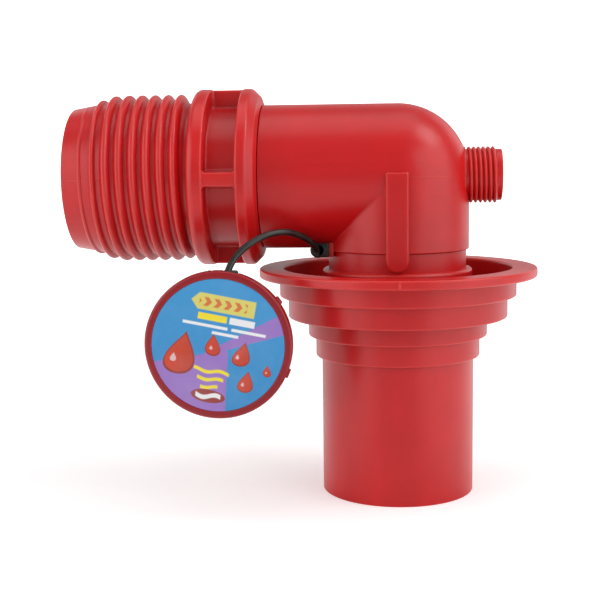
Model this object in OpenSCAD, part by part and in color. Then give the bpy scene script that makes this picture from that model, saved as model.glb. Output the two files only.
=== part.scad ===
// Universal sewer hose adapter: a stepped sewer adapter, a swivelling 90 degree
// elbow with a rinse port, a threaded hose spigot with a grip collar, and a
// drip cap on a tether. Z is up. The origin is the centre of the outlet tube's
// lower end. The hose spigot points along -X and the rinse port along +X.

/* [Outlet tube and steps] */
// Outer diameter of the outlet tube
tube_od = 71.5; // [70:0.1:73]
// Length of the outlet tube below the lowest step
tube_length = 64.7; // [50:0.1:90]
// Wall thickness of the outlet tube
tube_wall = 2.6; // [2:0.1:3]
// Diameter of the lowest and smallest step
step_1_od = 77.3; // [76:0.1:80]
// Height of the lowest step
step_1_height = 9.8; // [8:0.1:14]
// Diameter of the second step
step_2_od = 84.2; // [83:0.1:92]
// Height of the second step
step_2_height = 8.8; // [7:0.1:14]
// Diameter of the third step
step_3_od = 103; // [98:0.1:106]
// Height of the third step
step_3_height = 10; // [7:0.1:14]
// Diameter of the top step
step_4_od = 111.1; // [109:0.1:116]
// Height of the top step
step_4_height = 9.1; // [7:0.1:14]
// Wall thickness of the hollow steps
step_wall = 2; // [1.6:0.1:2.4]
// Diameter of the flange above the steps
flange_od = 130.1; // [122:0.1:140]
// Thickness of the flange
flange_thickness = 4.2; // [3:0.1:6]

/* [Socket for the elbow] */
// Wall thickness of the inner socket
socket_wall = 2.8; // [2.6:0.1:3.2]
// How far the socket rim lies below the top of the flange
socket_rim_drop = 0.5; // [0.2:0.1:3]
// Length of the elbow spigot that the socket holds
socket_depth = 26; // [20:0.5:29]
// Thickness of the ledge that stops the spigot
ledge_thickness = 3; // [2:0.1:4]
// How far the ledge reaches in under the spigot
ledge_reach = 2; // [1:0.1:2.4]
// Height of the rubber lip ring in the socket mouth
lip_ring_height = 5; // [3:0.1:8]
// Thickness of the rubber lip ring
lip_ring_thickness = 1.6; // [1.2:0.1:1.7]
// Height of the rim above the groove that holds the lip ring
lip_ring_cover = 1.2; // [0.8:0.1:2]

/* [Elbow] */
// Outer diameter of the elbow pipe
pipe_od = 67; // [66.6:0.1:70]
// Wall thickness of the elbow
elbow_wall = 2.4; // [2:0.1:2.8]
// Height of the pipe axis above the flange
axis_rise = 42.5; // [40:0.1:60]
// Outer diameter of the spigot that enters the socket
spigot_od = 64.4; // [62:0.1:65]
// Length of bare spigot between the flange top and the elbow leg
spigot_show = 8.4; // [6:0.1:8.8]
// Distance from the leg axis to the end of the elbow pipe
pipe_reach = 62.2; // [58:0.1:80]
// Width of the two raised keys on the leg
key_width = 9.8; // [6:0.1:14]
// How far the keys stand out of the leg
key_height = 2; // [1:0.1:2.6]
// Gap between a key's lower end and the socket rim
key_clearance = 0.9; // [0.4:0.1:2]

/* [Rinse port] */
// Outer diameter of the rinse port thread
rinse_thread_od = 26.2; // [25:0.1:27]
// Depth of the rinse port thread
rinse_thread_depth = 1.2; // [0.8:0.1:1.4]
// Pitch of the rinse port thread
rinse_pitch = 2.209; // [1.8:0.001:2.25]
// Number of turns of the rinse port thread
rinse_turns = 6.4; // [3:0.1:6.4]
// Length of the rinse port beyond the elbow corner
rinse_length = 14.8; // [14.4:0.1:22]
// Bore of the rinse port
rinse_bore = 17.6; // [12:0.1:19]

/* [Hose spigot] */
// Root diameter of the hose thread
hose_root_od = 72.6; // [72:0.1:76]
// Height of the hose thread
hose_thread_height = 2.65; // [1:0.05:2.7]
// Pitch of the hose thread
hose_pitch = 6.2; // [5.5:0.05:6.2]
// Number of turns of the hose thread
hose_turns = 7.9; // [4:0.1:7.9]
// Distance from the nose's end to the start of the hose thread
hose_thread_lead = 7.15; // [5:0.05:9]
// Length of the straight core between the neck and the tapered nose
hose_core_length = 32; // [32:0.1:44]
// Length of the tapered nose
nose_length = 19.65; // [19:0.05:26]
// Diameter of the end of the nose
nose_od = 65.7; // [65.4:0.1:68.4]
// Wall thickness of the hose spigot
hose_wall = 2.5; // [2:0.1:2.8]

/* [Grip collar] */
// Diameter of the collar's two rims
collar_od = 82.2; // [79:0.1:90]
// Length of the collar
collar_length = 31; // [28:0.1:40]
// Thickness of the collar's outer rim, next to the thread
outer_rim = 7.5; // [6:0.1:9]
// Thickness of the collar's inner rim, next to the elbow
inner_rim = 9; // [6:0.1:10]
// Rounding of the collar's outer edges
rim_round = 3.4; // [1:0.1:4]
// Diameter of the recess floor between the rims
recess_od = 64.4; // [64:0.1:66]
// Width of the four ribs across the recess
rib_width = 6.2; // [4:0.1:10]
// Number of ribs across the recess
rib_count = 4; // [3:1:8]
// Diameter of the neck between the collar and the thread
neck_od = 68.2; // [67.8:0.1:71]
// Length of the neck
neck_length = 1.9; // [1.5:0.1:12]
// Length of the taper between the neck and the thread's core
neck_taper = 4.2; // [4:0.1:8]
// Wall thickness of the neck
neck_wall = 2; // [1.8:0.1:2.2]

/* [Hose swivel] */
// Diameter of the bore that turns on the elbow's sleeve
swivel_bore = 60; // [59.4:0.1:60.2]
// Radial running clearance of the swivel
swivel_clearance = 0.08; // [0.04:0.01:0.1]
// Wall thickness of the elbow's sleeve
sleeve_wall = 2.9; // [2.6:0.1:3.4]
// Section diameter of the O-rings
o_ring_section = 1.8; // [1.4:0.1:2]
// Thickness of the slip washer
washer_thickness = 1.2; // [0.8:0.1:2]
// Thickness of the retaining ring
retainer_thickness = 1.4; // [1:0.1:2]
// End play of the swivel
end_play = 0.25; // [0.1:0.05:0.6]

/* [Drip cap] */
// Outer diameter of the cap
cap_od = 64.6; // [64:0.1:66]
// Thickness of the cap's rim
cap_rim_thickness = 6; // [5:0.1:7]
// Thickness of the cap's face
cap_face = 2.2; // [1.6:0.1:2.4]
// Width of the raised ring around the label
cap_ring_width = 3.3; // [2.5:0.1:5]
// Depth of the skirt that enters the elbow outlet
cap_skirt_depth = 7; // [5:0.1:8]
// Wall thickness of the skirt
cap_skirt_wall = 2.6; // [2:0.1:3]
// Thickness of the label
label_thickness = 0.4; // [0.2:0.05:0.5]
// Thickness of the rubber cap gasket
cap_gasket_thickness = 1.4; // [1:0.1:1.6]

/* [Tether] */
// Diameter of the tether
tether_diameter = 3; // [2.4:0.1:3.2]

/* [Hidden] */
$fn = 96;

// Clearances
spigot_clearance = 0.08;   // radial, spigot in socket
seat_gap = 0.2;            // below the spigot's end
o_ring_gap = 0.05;         // radial, at each side of an O-ring
ring_slack = 0.1;          // radial and axial, washer and retainer
skirt_clearance = 0.3;     // radial, cap skirt in the elbow outlet
pin_clearance = 0.08;      // radial, toggle pin in the cap's rim
hinge_gap = 0.3;           // round a bead in its notch in the cap's rim
retainer_gap = 0.6;        // radial, washer and retainer in the neck

// Heights of the stepped adapter, from the bottom up
step_1_z = tube_length;
step_2_z = step_1_z + step_1_height;
step_3_z = step_2_z + step_2_height;
step_4_z = step_3_z + step_3_height;
flange_z = step_4_z + step_4_height;
flange_top = flange_z + flange_thickness;
rim_z = flange_top - socket_rim_drop;
ledge_z = rim_z - socket_depth - seat_gap;
tube_in = tube_od / 2 - tube_wall;
spigot_r = spigot_od / 2;
socket_in = spigot_r + spigot_clearance;
socket_out = socket_in + socket_wall;

// Elbow
axis_z = flange_top + axis_rise;
seam_z = flange_top + spigot_show;
spigot_z = ledge_z + seat_gap;
pipe_r = pipe_od / 2;
pipe_in = pipe_r - elbow_wall;
outlet_in = spigot_r - elbow_wall;
key_top = axis_z + 2;
key_bottom = rim_z + key_clearance;
key_face = pipe_r + key_height;

// O-rings: the groove leaves the ring its gap at both sides
o_ring_r = o_ring_section / 2;
groove_depth = o_ring_section + o_ring_gap;
groove_width = o_ring_section * 1.35;
spigot_ring_r = socket_in - o_ring_gap - o_ring_r;
spigot_ring_z = spigot_z + socket_depth * 0.27;

// Swivel, measured along -X from the leg axis
collar_start = pipe_reach + end_play;
collar_end = collar_start + collar_length;
sleeve_r = swivel_bore / 2 - swivel_clearance;
sleeve_in = sleeve_r - sleeve_wall;
sleeve_ring_r = swivel_bore / 2 - o_ring_gap - o_ring_r;
sleeve_ring_x = [collar_start + collar_length * 0.258, collar_start + collar_length * 0.645];
neck_r = neck_od / 2;
neck_in = neck_r - neck_wall;
washer_x = collar_end + end_play;
retainer_x = washer_x + washer_thickness + ring_slack;
retainer_depth = 1.3;
retainer_in = sleeve_r - retainer_depth;
retainer_out = neck_in - retainer_gap;
sleeve_lip = 2.4;
sleeve_end = retainer_x + retainer_thickness + sleeve_lip;

// Hose spigot, measured along -X from the leg axis
neck_end = collar_end + neck_length;
core_start = neck_end + neck_taper;
core_end = core_start + hose_core_length;
nose_end = core_end + nose_length;
bore_end = core_end + hose_wall;
thread_start = nose_end - hose_thread_lead;
root_r = hose_root_od / 2;
collar_r = collar_od / 2;
recess_r = recess_od / 2;
collar_foot = 0.6;
foot_r = pipe_r + collar_foot;
nose_r = nose_od / 2;
nose_in = nose_r - hose_wall;
thread_in = root_r - hose_wall;

// Rinse port, measured along +X from the leg axis
rinse_end = pipe_r + rinse_length;
rinse_crest_r = rinse_thread_od / 2;
rinse_root_r = rinse_crest_r - rinse_thread_depth;
rinse_base_r = rinse_crest_r + 0.1;
rinse_base_end = sqrt(pow(pipe_r, 2) - pow(rinse_base_r, 2)) + 0.6;
nipple_start = pipe_in / 3;

// Drip cap: the cap hangs in front of the flange with its label facing -Y
cap_r = cap_od / 2;
skirt_r = outlet_in - skirt_clearance;
cap_x = -77.4;
cap_z = 78.3;
cap_back_y = -53;
cap_front_y = cap_back_y - cap_rim_thickness;
label_r = cap_r - cap_ring_width;
label_recess = 0.6;
lug_width = 4.6;
pin_r = 1.1;
bead_r = 2;
bead_length = 2;
eye_length = 6.4;
pin_y = cap_back_y - bead_r - 0.2;
pin_z = cap_z + cap_r - bead_r;
bump_width = 3.8;
bump_height = 0.9;
bump_front = 1.6;
bump_angles = [36, -23];

// Tether: round numbers, from the anchor on the elbow to the toggle on the cap
tether_route = [
    [-36.5, -18.5, 116], [-39, -23, 120], [-44, -28.5, 123.5], [-50, -35, 125.5], [-57.5, -41.5, 124.5],
    [-64.5, -46.5, 121], [-69.5, -50.5, 116.5], [-72, -53, 112.5], [-73, -54.6, 109.8]];
tether_sides = 8;
anchor_x = -36.3;
anchor_z = 115.8;
anchor_r = 3.6;
anchor_head = 2;
anchor_y = -16.6;
lug_thickness = 3.2;
lug_sink = 4.5;
stud_r = 1.6;
stud_length = 3;

// Rounded profiles
arc_steps = 5;
function unit(v) = v / norm(v);
function bend(a) = a > 180 ? a - 360 : a < -180 ? a + 360 : a;
// Arc that rounds corner b between a and c. The third number of b is the radius.
function corner(a, b, c) =
    let (p = [b.x, b.y], u = unit([a.x, a.y] - p), v = unit([c.x, c.y] - p))
    b.z == 0 || abs(u * v) > 0.999 ? [p] :
    let (
        half = acos(u * v) / 2,
        middle = p + unit(u + v) * b.z / sin(half),
        from = p + u * b.z / tan(half) - middle,
        to = p + v * b.z / tan(half) - middle,
        start = atan2(from.y, from.x),
        turn = bend(atan2(to.y, to.x) - start)
    )
    [for (i = [0:arc_steps])
        middle + b.z * [cos(start + turn * i / arc_steps), sin(start + turn * i / arc_steps)]];
function rounded(pts) =
    let (n = len(pts))
    [for (i = [0:n - 1]) each corner(pts[(i + n - 1) % n], pts[i], pts[(i + 1) % n])];

// A turned shape about Z, from [radius, height, rounding] points
module turned(pts) {
    rotate_extrude() polygon(rounded(pts));
}

// Puts a shape that is turned about Z on the pipe axis, with its Z along -X or +X
module along_hose() {
    translate([0, 0, axis_z]) rotate([0, -90, 0]) children();
}

module along_rinse() {
    translate([0, 0, axis_z]) rotate([0, 90, 0]) children();
}

// A plain ring about Z
module ring(outer, inner, height) {
    difference() {
        cylinder(r = outer, h = height);
        translate([0, 0, -1]) cylinder(r = inner, h = height + 2);
    }
}

// Helical ridge about Z for a right-hand thread, tapered at both ends. Its root lies in
// the core, whose radii stand in a table of [height, radius].
sink = 0.8;
function ridge_height(turn, turns, tapers) =
    min(1, max(0.12, turn / tapers[0]), max(0.12, (turns - turn) / tapers[1]));
function ridge_ring(core, top, pitch, turn, turns, tapers, base, crest) =
    let (
        rise = turn * pitch,
        share = ridge_height(turn, turns, tapers),
        root = lookup(rise, core),
        r = root + (top - root) * share,
        foot = base * (0.3 + 0.7 * share) / 2,
        head = crest * (0.3 + 0.7 * share) / 2,
        a = 360 * turn
    )
    [for (p = [[root - sink, -foot], [r, -head], [r, head], [root - sink, foot]])
        [p[0] * cos(a), p[0] * sin(a), rise + p[1]]];
module ridge(core, top, pitch, turns, tapers, steps, base, crest) {
    count = ceil(turns * steps);
    pts = [for (i = [0:count])
        each ridge_ring(core, top, pitch, turns * i / count, turns, tapers, base, crest)];
    sides = [for (i = [0:count - 1], k = [0:3])
        let (a = 4 * i + k, b = 4 * i + (k + 1) % 4)
        each [[a, b, b + 4], [a, b + 4, a + 4]]];
    last = 4 * count;
    ends = [[0, 3, 2], [0, 2, 1], [last, last + 1, last + 2], [last, last + 2, last + 3]];
    polyhedron(points = pts, faces = concat(sides, ends), convexity = 10);
}

module sewer_adapter() {
    r1 = step_1_od / 2;
    r2 = step_2_od / 2;
    r3 = step_3_od / 2;
    r4 = step_4_od / 2;
    seal_r = socket_in + lip_ring_thickness;
    groove_z = rim_z - lip_ring_cover;
    color("firebrick") turned([
        [tube_in, 0, 0.8], [tube_od / 2, 0, 0], [tube_od / 2, step_1_z, 0.5],
        [r1, step_1_z, 0.7], [r1, step_2_z, 0.5], [r2, step_2_z, 0.7], [r2, step_3_z, 0.5],
        [r3, step_3_z, 0.7], [r3, step_4_z, 0.5], [r4, step_4_z, 0.7], [r4, flange_z, 0.5],
        [flange_od / 2, flange_z, 1], [flange_od / 2, flange_top, 1],
        [r4 - step_wall, flange_top, 0.9], [r4 - step_wall, step_4_z + step_wall, 0.6],
        [r3 - step_wall, step_4_z + step_wall, 0.6], [r3 - step_wall, step_3_z + step_wall, 0.6],
        [r2 - step_wall, step_3_z + step_wall, 0.6], [r2 - step_wall, step_2_z + step_wall, 0.6],
        [socket_out, step_2_z + step_wall, 0.6], [socket_out, rim_z, socket_wall - 0.6],
        [socket_in, rim_z, 0.3],
        [socket_in, groove_z, 0], [seal_r, groove_z, 0],
        [seal_r, groove_z - lip_ring_height, 0], [socket_in, groove_z - lip_ring_height, 0],
        [socket_in, ledge_z, 0], [socket_in - ledge_reach, ledge_z, 0.4],
        [socket_in - ledge_reach, ledge_z - ledge_thickness, 0.4],
        [tube_in, ledge_z - ledge_thickness, 0]]);
}

module socket_lip_ring() {
    color("dimgray")
        translate([0, 0, rim_z - lip_ring_cover - lip_ring_height])
            ring(socket_in + lip_ring_thickness, socket_in, lip_ring_height);
}

// A round-section ring about Z
module o_ring(middle) {
    rotate_extrude() translate([middle, 0]) circle(r = o_ring_r, $fn = 24);
}

module spigot_o_ring() {
    color("dimgray") translate([0, 0, spigot_ring_z]) o_ring(spigot_ring_r);
}

// Groove that an O-ring lies in, cut from a shaft about Z
module o_ring_groove(shaft_r) {
    translate([0, 0, -groove_width / 2]) ring(shaft_r + 1, shaft_r - groove_depth, groove_width);
}

// Raised key on the leg, with a round lower end
module key() {
    translate([0, -pipe_r + 1.4, 0]) rotate([90, 0, 0])
        linear_extrude(key_height + 1.4) {
            translate([-key_width / 2, key_bottom + key_width / 2])
                square([key_width, key_top - key_bottom - key_width / 2]);
            translate([0, key_bottom + key_width / 2]) circle(d = key_width);
        }
}

module elbow_solid() {
    translate([0, 0, seam_z]) cylinder(r = pipe_r, h = axis_z - seam_z);
    translate([0, 0, spigot_z]) cylinder(r = spigot_r, h = seam_z - spigot_z + 1);
    translate([0, 0, axis_z]) sphere(r = pipe_r);
    along_hose() cylinder(r = pipe_r, h = pipe_reach);
    along_hose() cylinder(r = sleeve_r, h = sleeve_end);
    key();
    mirror([0, 1, 0]) key();
    tether_lug();
}

// Plate at the inside corner that the tether's stud goes into
module tether_lug() {
    lug_outer = anchor_r - 0.3;
    translate([anchor_x, anchor_y + lug_thickness, anchor_z]) rotate([90, 0, 0])
        cylinder(r = lug_outer, h = lug_thickness);
    translate([anchor_x, anchor_y, anchor_z - lug_outer])
        cube([-anchor_x - pipe_r + lug_sink, lug_thickness, 2 * lug_outer]);
}

module elbow_hollow() {
    translate([0, 0, seam_z]) cylinder(r = pipe_in, h = axis_z - seam_z);
    translate([0, 0, spigot_z - 1]) cylinder(r = outlet_in, h = seam_z - spigot_z + 2);
    translate([0, 0, axis_z]) sphere(r = pipe_in);
    along_hose() cylinder(r = pipe_in, h = pipe_reach - elbow_wall);
    along_hose() cylinder(r = sleeve_in, h = sleeve_end + 1);
    along_rinse() cylinder(r = rinse_base_r, h = rinse_end);
}

module elbow() {
    color("firebrick") difference() {
        elbow_solid();
        elbow_hollow();
        translate([0, 0, spigot_ring_z]) o_ring_groove(spigot_r);
        for (x = sleeve_ring_x) along_hose() translate([0, 0, x]) o_ring_groove(sleeve_r);
        along_hose() translate([0, 0, retainer_x])
            ring(sleeve_r + 1, retainer_in, retainer_thickness + ring_slack);
        translate([anchor_x, anchor_y + stud_length, anchor_z]) rotate([90, 0, 0])
            cylinder(r = stud_r, h = 2 * stud_length);
    }
}

module rinse_nipple() {
    color("crimson") difference() {
        union() {
            along_rinse() turned([
                [rinse_bore / 2, nipple_start, 0], [rinse_base_r, nipple_start, 0],
                [rinse_base_r, rinse_base_end, 0],
                [rinse_root_r, rinse_base_end, 0], [rinse_root_r, rinse_end, 0.7],
                [rinse_bore / 2, rinse_end, 0.5]]);
            along_rinse() translate([0, 0, rinse_base_end + rinse_pitch * 0.3])
                ridge([[0, rinse_root_r]], rinse_crest_r, rinse_pitch, rinse_turns, [0.4, 0.4], 24,
                      rinse_pitch * 0.92, rinse_pitch * 0.2);
        }
        translate([0, 0, axis_z]) sphere(r = pipe_in);
    }
}

module sleeve_o_rings() {
    color("dimgray") for (x = sleeve_ring_x) along_hose() translate([0, 0, x]) o_ring(sleeve_ring_r);
}

module slip_washer() {
    color("ivory") along_hose() translate([0, 0, washer_x])
        ring(retainer_out, sleeve_r + ring_slack, washer_thickness);
}

// Split ring that snaps into the groove at the end of the sleeve
module retaining_ring() {
    split = 5;
    color("silver") along_hose() translate([0, 0, retainer_x + ring_slack / 2]) difference() {
        ring(retainer_out, retainer_in + ring_slack, retainer_thickness);
        translate([0, -split / 2, -1]) cube([2 * retainer_out, split, retainer_thickness + 2]);
    }
}

module collar_rib() {
    translate([swivel_bore / 2 + 0.4, -rib_width / 2, collar_start + inner_rim - 0.5])
        cube([collar_r - swivel_bore / 2 - 0.9, rib_width, collar_length - inner_rim - outer_rim + 1]);
}

module hose_spigot() {
    bore = swivel_bore / 2;
    hose_core = [for (p = [[neck_end, neck_r], [core_start, root_r], [core_end, root_r], [nose_end, nose_r]])
        [thread_start - p[0], p[1]]];
    color("firebrick") along_hose() {
        turned([
            [bore, collar_start, 0.5], [foot_r, collar_start, 0],
            [collar_r - rim_round, collar_start + 1.1, 1], [collar_r, collar_start + 1.1 + rim_round, 2],
            [collar_r, collar_start + inner_rim, 0.8], [recess_r, collar_start + inner_rim, 0.8],
            [recess_r, collar_end - outer_rim, 0.8], [collar_r, collar_end - outer_rim, 0.8],
            [collar_r, collar_end, rim_round], [neck_r, collar_end, 0.4], [neck_r, neck_end, 0.4],
            [root_r, core_start, 0.6], [root_r, core_end, 0.6], [nose_r, nose_end, 0.3],
            [nose_in, nose_end, 0.8], [nose_in, bore_end, 0.8], [thread_in, bore_end, 0.8],
            [thread_in, core_start + hose_wall / 2, 0.8], [neck_in, core_start + hose_wall / 2, 0.8],
            [neck_in, collar_end, 0.4], [bore, collar_end, 0]]);
        for (i = [0:rib_count - 1]) rotate(i * 360 / rib_count) collar_rib();
        translate([0, 0, thread_start]) mirror([0, 0, 1]) mirror([0, 1, 0])
            ridge(hose_core, root_r + hose_thread_height, hose_pitch, hose_turns, [2.2, 0.6], 36,
                  hose_pitch * 0.8, hose_pitch * 0.28);
    }
}

// Puts a shape that is turned about Z on the cap axis, with its Z along +Y
module on_cap() {
    translate([cap_x, cap_front_y, cap_z]) rotate([-90, 0, 0]) children();
}

// Notch in the back of the rim for a bead of the toggle, between two distances from the cap's middle
module hinge_notch(from, to) {
    depth = bead_r + hinge_gap;
    translate([cap_x + from, pin_y - depth, pin_z - depth])
        cube([to - from, cap_back_y - pin_y + depth + 0.5, cap_r]);
}

// Grip bump on the edge of the cap
module cap_bump(angle) {
    on_cap() rotate(-angle) translate([cap_r - 1, -bump_width / 2, bump_front])
        cube([bump_height + 1, bump_width, cap_rim_thickness - bump_front]);
}

module drip_cap() {
    color("firebrick") difference() {
        union() {
            on_cap() turned([
                [0, label_recess, 0], [label_r + 0.1, label_recess, 0], [label_r + 0.1, 0, 0.3],
                [cap_r, 0, 1.2], [cap_r, cap_rim_thickness, 0.8], [skirt_r, cap_rim_thickness, 0],
                [skirt_r, cap_rim_thickness + cap_skirt_depth, 0.7],
                [skirt_r - cap_skirt_wall, cap_rim_thickness + cap_skirt_depth, 0.5],
                [skirt_r - cap_skirt_wall, label_recess + cap_face, 0.6], [0, label_recess + cap_face, 0]]);
            for (angle = bump_angles) cap_bump(angle);
        }
        hinge_notch(lug_width / 2, lug_width / 2 + eye_length + 2 * hinge_gap);
        hinge_notch(-lug_width / 2 - bead_length - 2 * hinge_gap, -lug_width / 2);
        translate([cap_x - lug_width, pin_y, pin_z]) rotate([0, 90, 0])
            cylinder(r = pin_r + pin_clearance, h = 2 * lug_width);
    }
}

module cap_gasket() {
    color("dimgray") on_cap() translate([0, 0, cap_rim_thickness])
        ring(cap_r - 0.8, skirt_r, cap_gasket_thickness);
}

module cap_label() {
    color("deepskyblue") on_cap() translate([0, 0, label_recess - label_thickness])
        cylinder(r = label_r, h = label_thickness);
}

// Tube swept along the tether's route
side_dir = [0, -1, 1];
function heading(route, i) = unit(route[min(i + 1, len(route) - 1)] - route[max(i - 1, 0)]);
function tube_ring(route, i, r, sides) =
    let (t = heading(route, i), u = unit(cross(t, side_dir)), v = cross(t, u))
    [for (k = [0:sides - 1]) route[i] + r * (u * cos(360 * k / sides) + v * sin(360 * k / sides))];
module swept_tube(route, r, sides) {
    last = len(route) - 1;
    pts = [for (i = [0:last]) each tube_ring(route, i, r, sides)];
    walls = [for (i = [0:last - 1], k = [0:sides - 1])
        let (a = i * sides + k, b = i * sides + (k + 1) % sides)
        each [[a, b + sides, b], [a, a + sides, b + sides]]];
    lid_a = [for (k = [1:sides - 2]) [0, k, k + 1]];
    lid_b = [for (k = [1:sides - 2]) [last * sides, last * sides + k + 1, last * sides + k]];
    polyhedron(points = pts, faces = concat(walls, lid_a, lid_b));
}

module tether_cord() {
    color("darkslategray") swept_tube(tether_route, tether_diameter / 2, tether_sides);
}

// Stud in the elbow's lug, with a head in front
module tether_anchor() {
    color("darkslategray") translate([anchor_x, anchor_y, anchor_z]) rotate([90, 0, 0]) {
        cylinder(r = anchor_r, h = anchor_head);
        translate([0, 0, -stud_length]) cylinder(r = stud_r, h = stud_length);
    }
}

// Pin through the cap's rim, with a bead in the notch at each end
module tether_toggle() {
    inner = lug_width / 2 + hinge_gap;
    color("darkslategray") translate([cap_x, pin_y, pin_z]) rotate([0, 90, 0]) {
        translate([0, 0, -inner]) cylinder(r = pin_r, h = 2 * inner);
        translate([0, 0, -inner - bead_length]) cylinder(r = bead_r, h = bead_length);
        translate([0, 0, inner]) cylinder(r = bead_r, h = eye_length);
    }
}

sewer_adapter();
socket_lip_ring();
spigot_o_ring();
elbow();
rinse_nipple();
sleeve_o_rings();
slip_washer();
retaining_ring();
hose_spigot();
drip_cap();
cap_gasket();
cap_label();
tether_cord();
tether_anchor();
tether_toggle();
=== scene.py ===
"""Looks of a red 90 degree sewer hose fitting and its drip cap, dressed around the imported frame.

Sizes in the classes are millimetres in the frame's own axes, as on a maker's drawing: Z is up, the hose
spigot points along -X and the rinse port along +X. Meshes are made in metres.
"""

import logging
import math
from collections.abc import Callable, Iterable, Sequence
from dataclasses import asdict, dataclass, field
from enum import Enum
from typing import ClassVar

import bmesh
import bpy
import numpy as np
from mathutils import Matrix, Vector


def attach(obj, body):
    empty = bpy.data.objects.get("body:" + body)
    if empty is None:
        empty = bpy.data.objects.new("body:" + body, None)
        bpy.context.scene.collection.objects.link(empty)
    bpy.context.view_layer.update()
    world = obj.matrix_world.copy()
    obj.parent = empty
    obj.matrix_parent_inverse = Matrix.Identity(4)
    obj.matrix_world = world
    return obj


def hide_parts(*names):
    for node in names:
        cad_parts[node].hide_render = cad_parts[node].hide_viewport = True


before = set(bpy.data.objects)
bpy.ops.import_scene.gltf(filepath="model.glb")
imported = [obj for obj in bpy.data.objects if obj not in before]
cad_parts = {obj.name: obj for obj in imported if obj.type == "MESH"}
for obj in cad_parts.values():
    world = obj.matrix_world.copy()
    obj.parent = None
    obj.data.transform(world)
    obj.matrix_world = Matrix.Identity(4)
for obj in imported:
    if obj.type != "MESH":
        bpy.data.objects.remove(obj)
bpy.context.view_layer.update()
LOG = logging.getLogger("sewer_fitting")

MM = 0.001
WELD = 2e-6
EDGE = "edge"
COLUMNS = 192
FINE_COLUMNS = 256
DRILL_COLUMNS = 96
PIN_COLUMNS = 64
HOLE_COLUMNS = 48
CUTTER_GAP = 0.02
BEAD_WIDTH = 0.42
BEAD_HEIGHT = 0.11
BEAD_SUNK = 0.4

Colour = tuple[float, float, float, float]
Point = tuple[float, float, float]
ProfilePoint = tuple[float, float, float]


# ---------------------------------------------------------------- colours and node sheets


def display(red: float, green: float, blue: float) -> Colour:
    """Turns a display colour of 0 to 255 into a linear one.

    Args:
        red: Red, 0 to 255.
        green: Green, 0 to 255.
        blue: Blue, 0 to 255.

    Returns:
        The colour as linear red, green, blue and an alpha of 1.
    """
    shares = [channel / 255 for channel in (red, green, blue)]
    linear = [s / 12.92 if s <= 0.04045 else ((s + 0.055) / 1.055) ** 2.4 for s in shares]
    return (linear[0], linear[1], linear[2], 1.0)


class Quantity:
    """A number socket that takes part in Python arithmetic. Each operator adds one Math node."""

    def __init__(self, sheet: "NodeSheet", socket: bpy.types.NodeSocket) -> None:
        """Wraps an output socket of a node on the sheet."""
        self.sheet = sheet
        self.socket = socket

    def _join(self, operation: str, *terms: "Quantity | float") -> "Quantity":
        """Adds a Math node that works out the operation on the terms."""
        return self.sheet.quantity(
            self.sheet.node("ShaderNodeMath", dict(enumerate(terms)), operation=operation)
        )

    def __add__(self, other: "Quantity | float") -> "Quantity":
        """Sum."""
        return self._join("ADD", self, other)

    def __radd__(self, other: float) -> "Quantity":
        """Sum with a number on the left."""
        return self._join("ADD", other, self)

    def __sub__(self, other: "Quantity | float") -> "Quantity":
        """Difference."""
        return self._join("SUBTRACT", self, other)

    def __rsub__(self, other: float) -> "Quantity":
        """Difference from a number on the left."""
        return self._join("SUBTRACT", other, self)

    def __mul__(self, other: "Quantity | float") -> "Quantity":
        """Product."""
        return self._join("MULTIPLY", self, other)

    def __rmul__(self, other: float) -> "Quantity":
        """Product with a number on the left."""
        return self._join("MULTIPLY", other, self)

    def __truediv__(self, other: "Quantity | float") -> "Quantity":
        """Quotient."""
        return self._join("DIVIDE", self, other)

    def __rtruediv__(self, other: float) -> "Quantity":
        """Quotient of a number on the left."""
        return self._join("DIVIDE", other, self)

    def __neg__(self) -> "Quantity":
        """The value with its sign turned."""
        return self._join("MULTIPLY", self, -1.0)

    def __pow__(self, power: float) -> "Quantity":
        """Power."""
        return self._join("POWER", self, power)

    def size(self) -> "Quantity":
        """The value without its sign."""
        return self._join("ABSOLUTE", self)

    def root(self) -> "Quantity":
        """Square root."""
        return self._join("SQRT", self)

    def sine(self) -> "Quantity":
        """Sine of an angle in radians."""
        return self._join("SINE", self)

    def cosine(self) -> "Quantity":
        """Cosine of an angle in radians."""
        return self._join("COSINE", self)

    def nearest(self) -> "Quantity":
        """The nearest whole number."""
        return self._join("ROUND", self)

    def part(self) -> "Quantity":
        """What is left over the whole number below."""
        return self._join("FRACT", self)

    def least(self, other: "Quantity | float") -> "Quantity":
        """The lower of the two."""
        return self._join("MINIMUM", self, other)

    def most(self, other: "Quantity | float") -> "Quantity":
        """The higher of the two."""
        return self._join("MAXIMUM", self, other)

    def clamped(self) -> "Quantity":
        """The value held between 0 and 1."""
        return self.most(0.0).least(1.0)

    def eased(self) -> "Quantity":
        """A value from 0 to 1 with a soft start and a soft end."""
        held = self.clamped()
        return held * held * (3.0 - 2.0 * held)

    def under(self, edge: "Quantity | float", softness: float) -> "Quantity":
        """1 where the value is below the edge and 0 above it, with a soft change."""
        return ((edge - self) / softness + 0.5).clamped()


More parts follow.
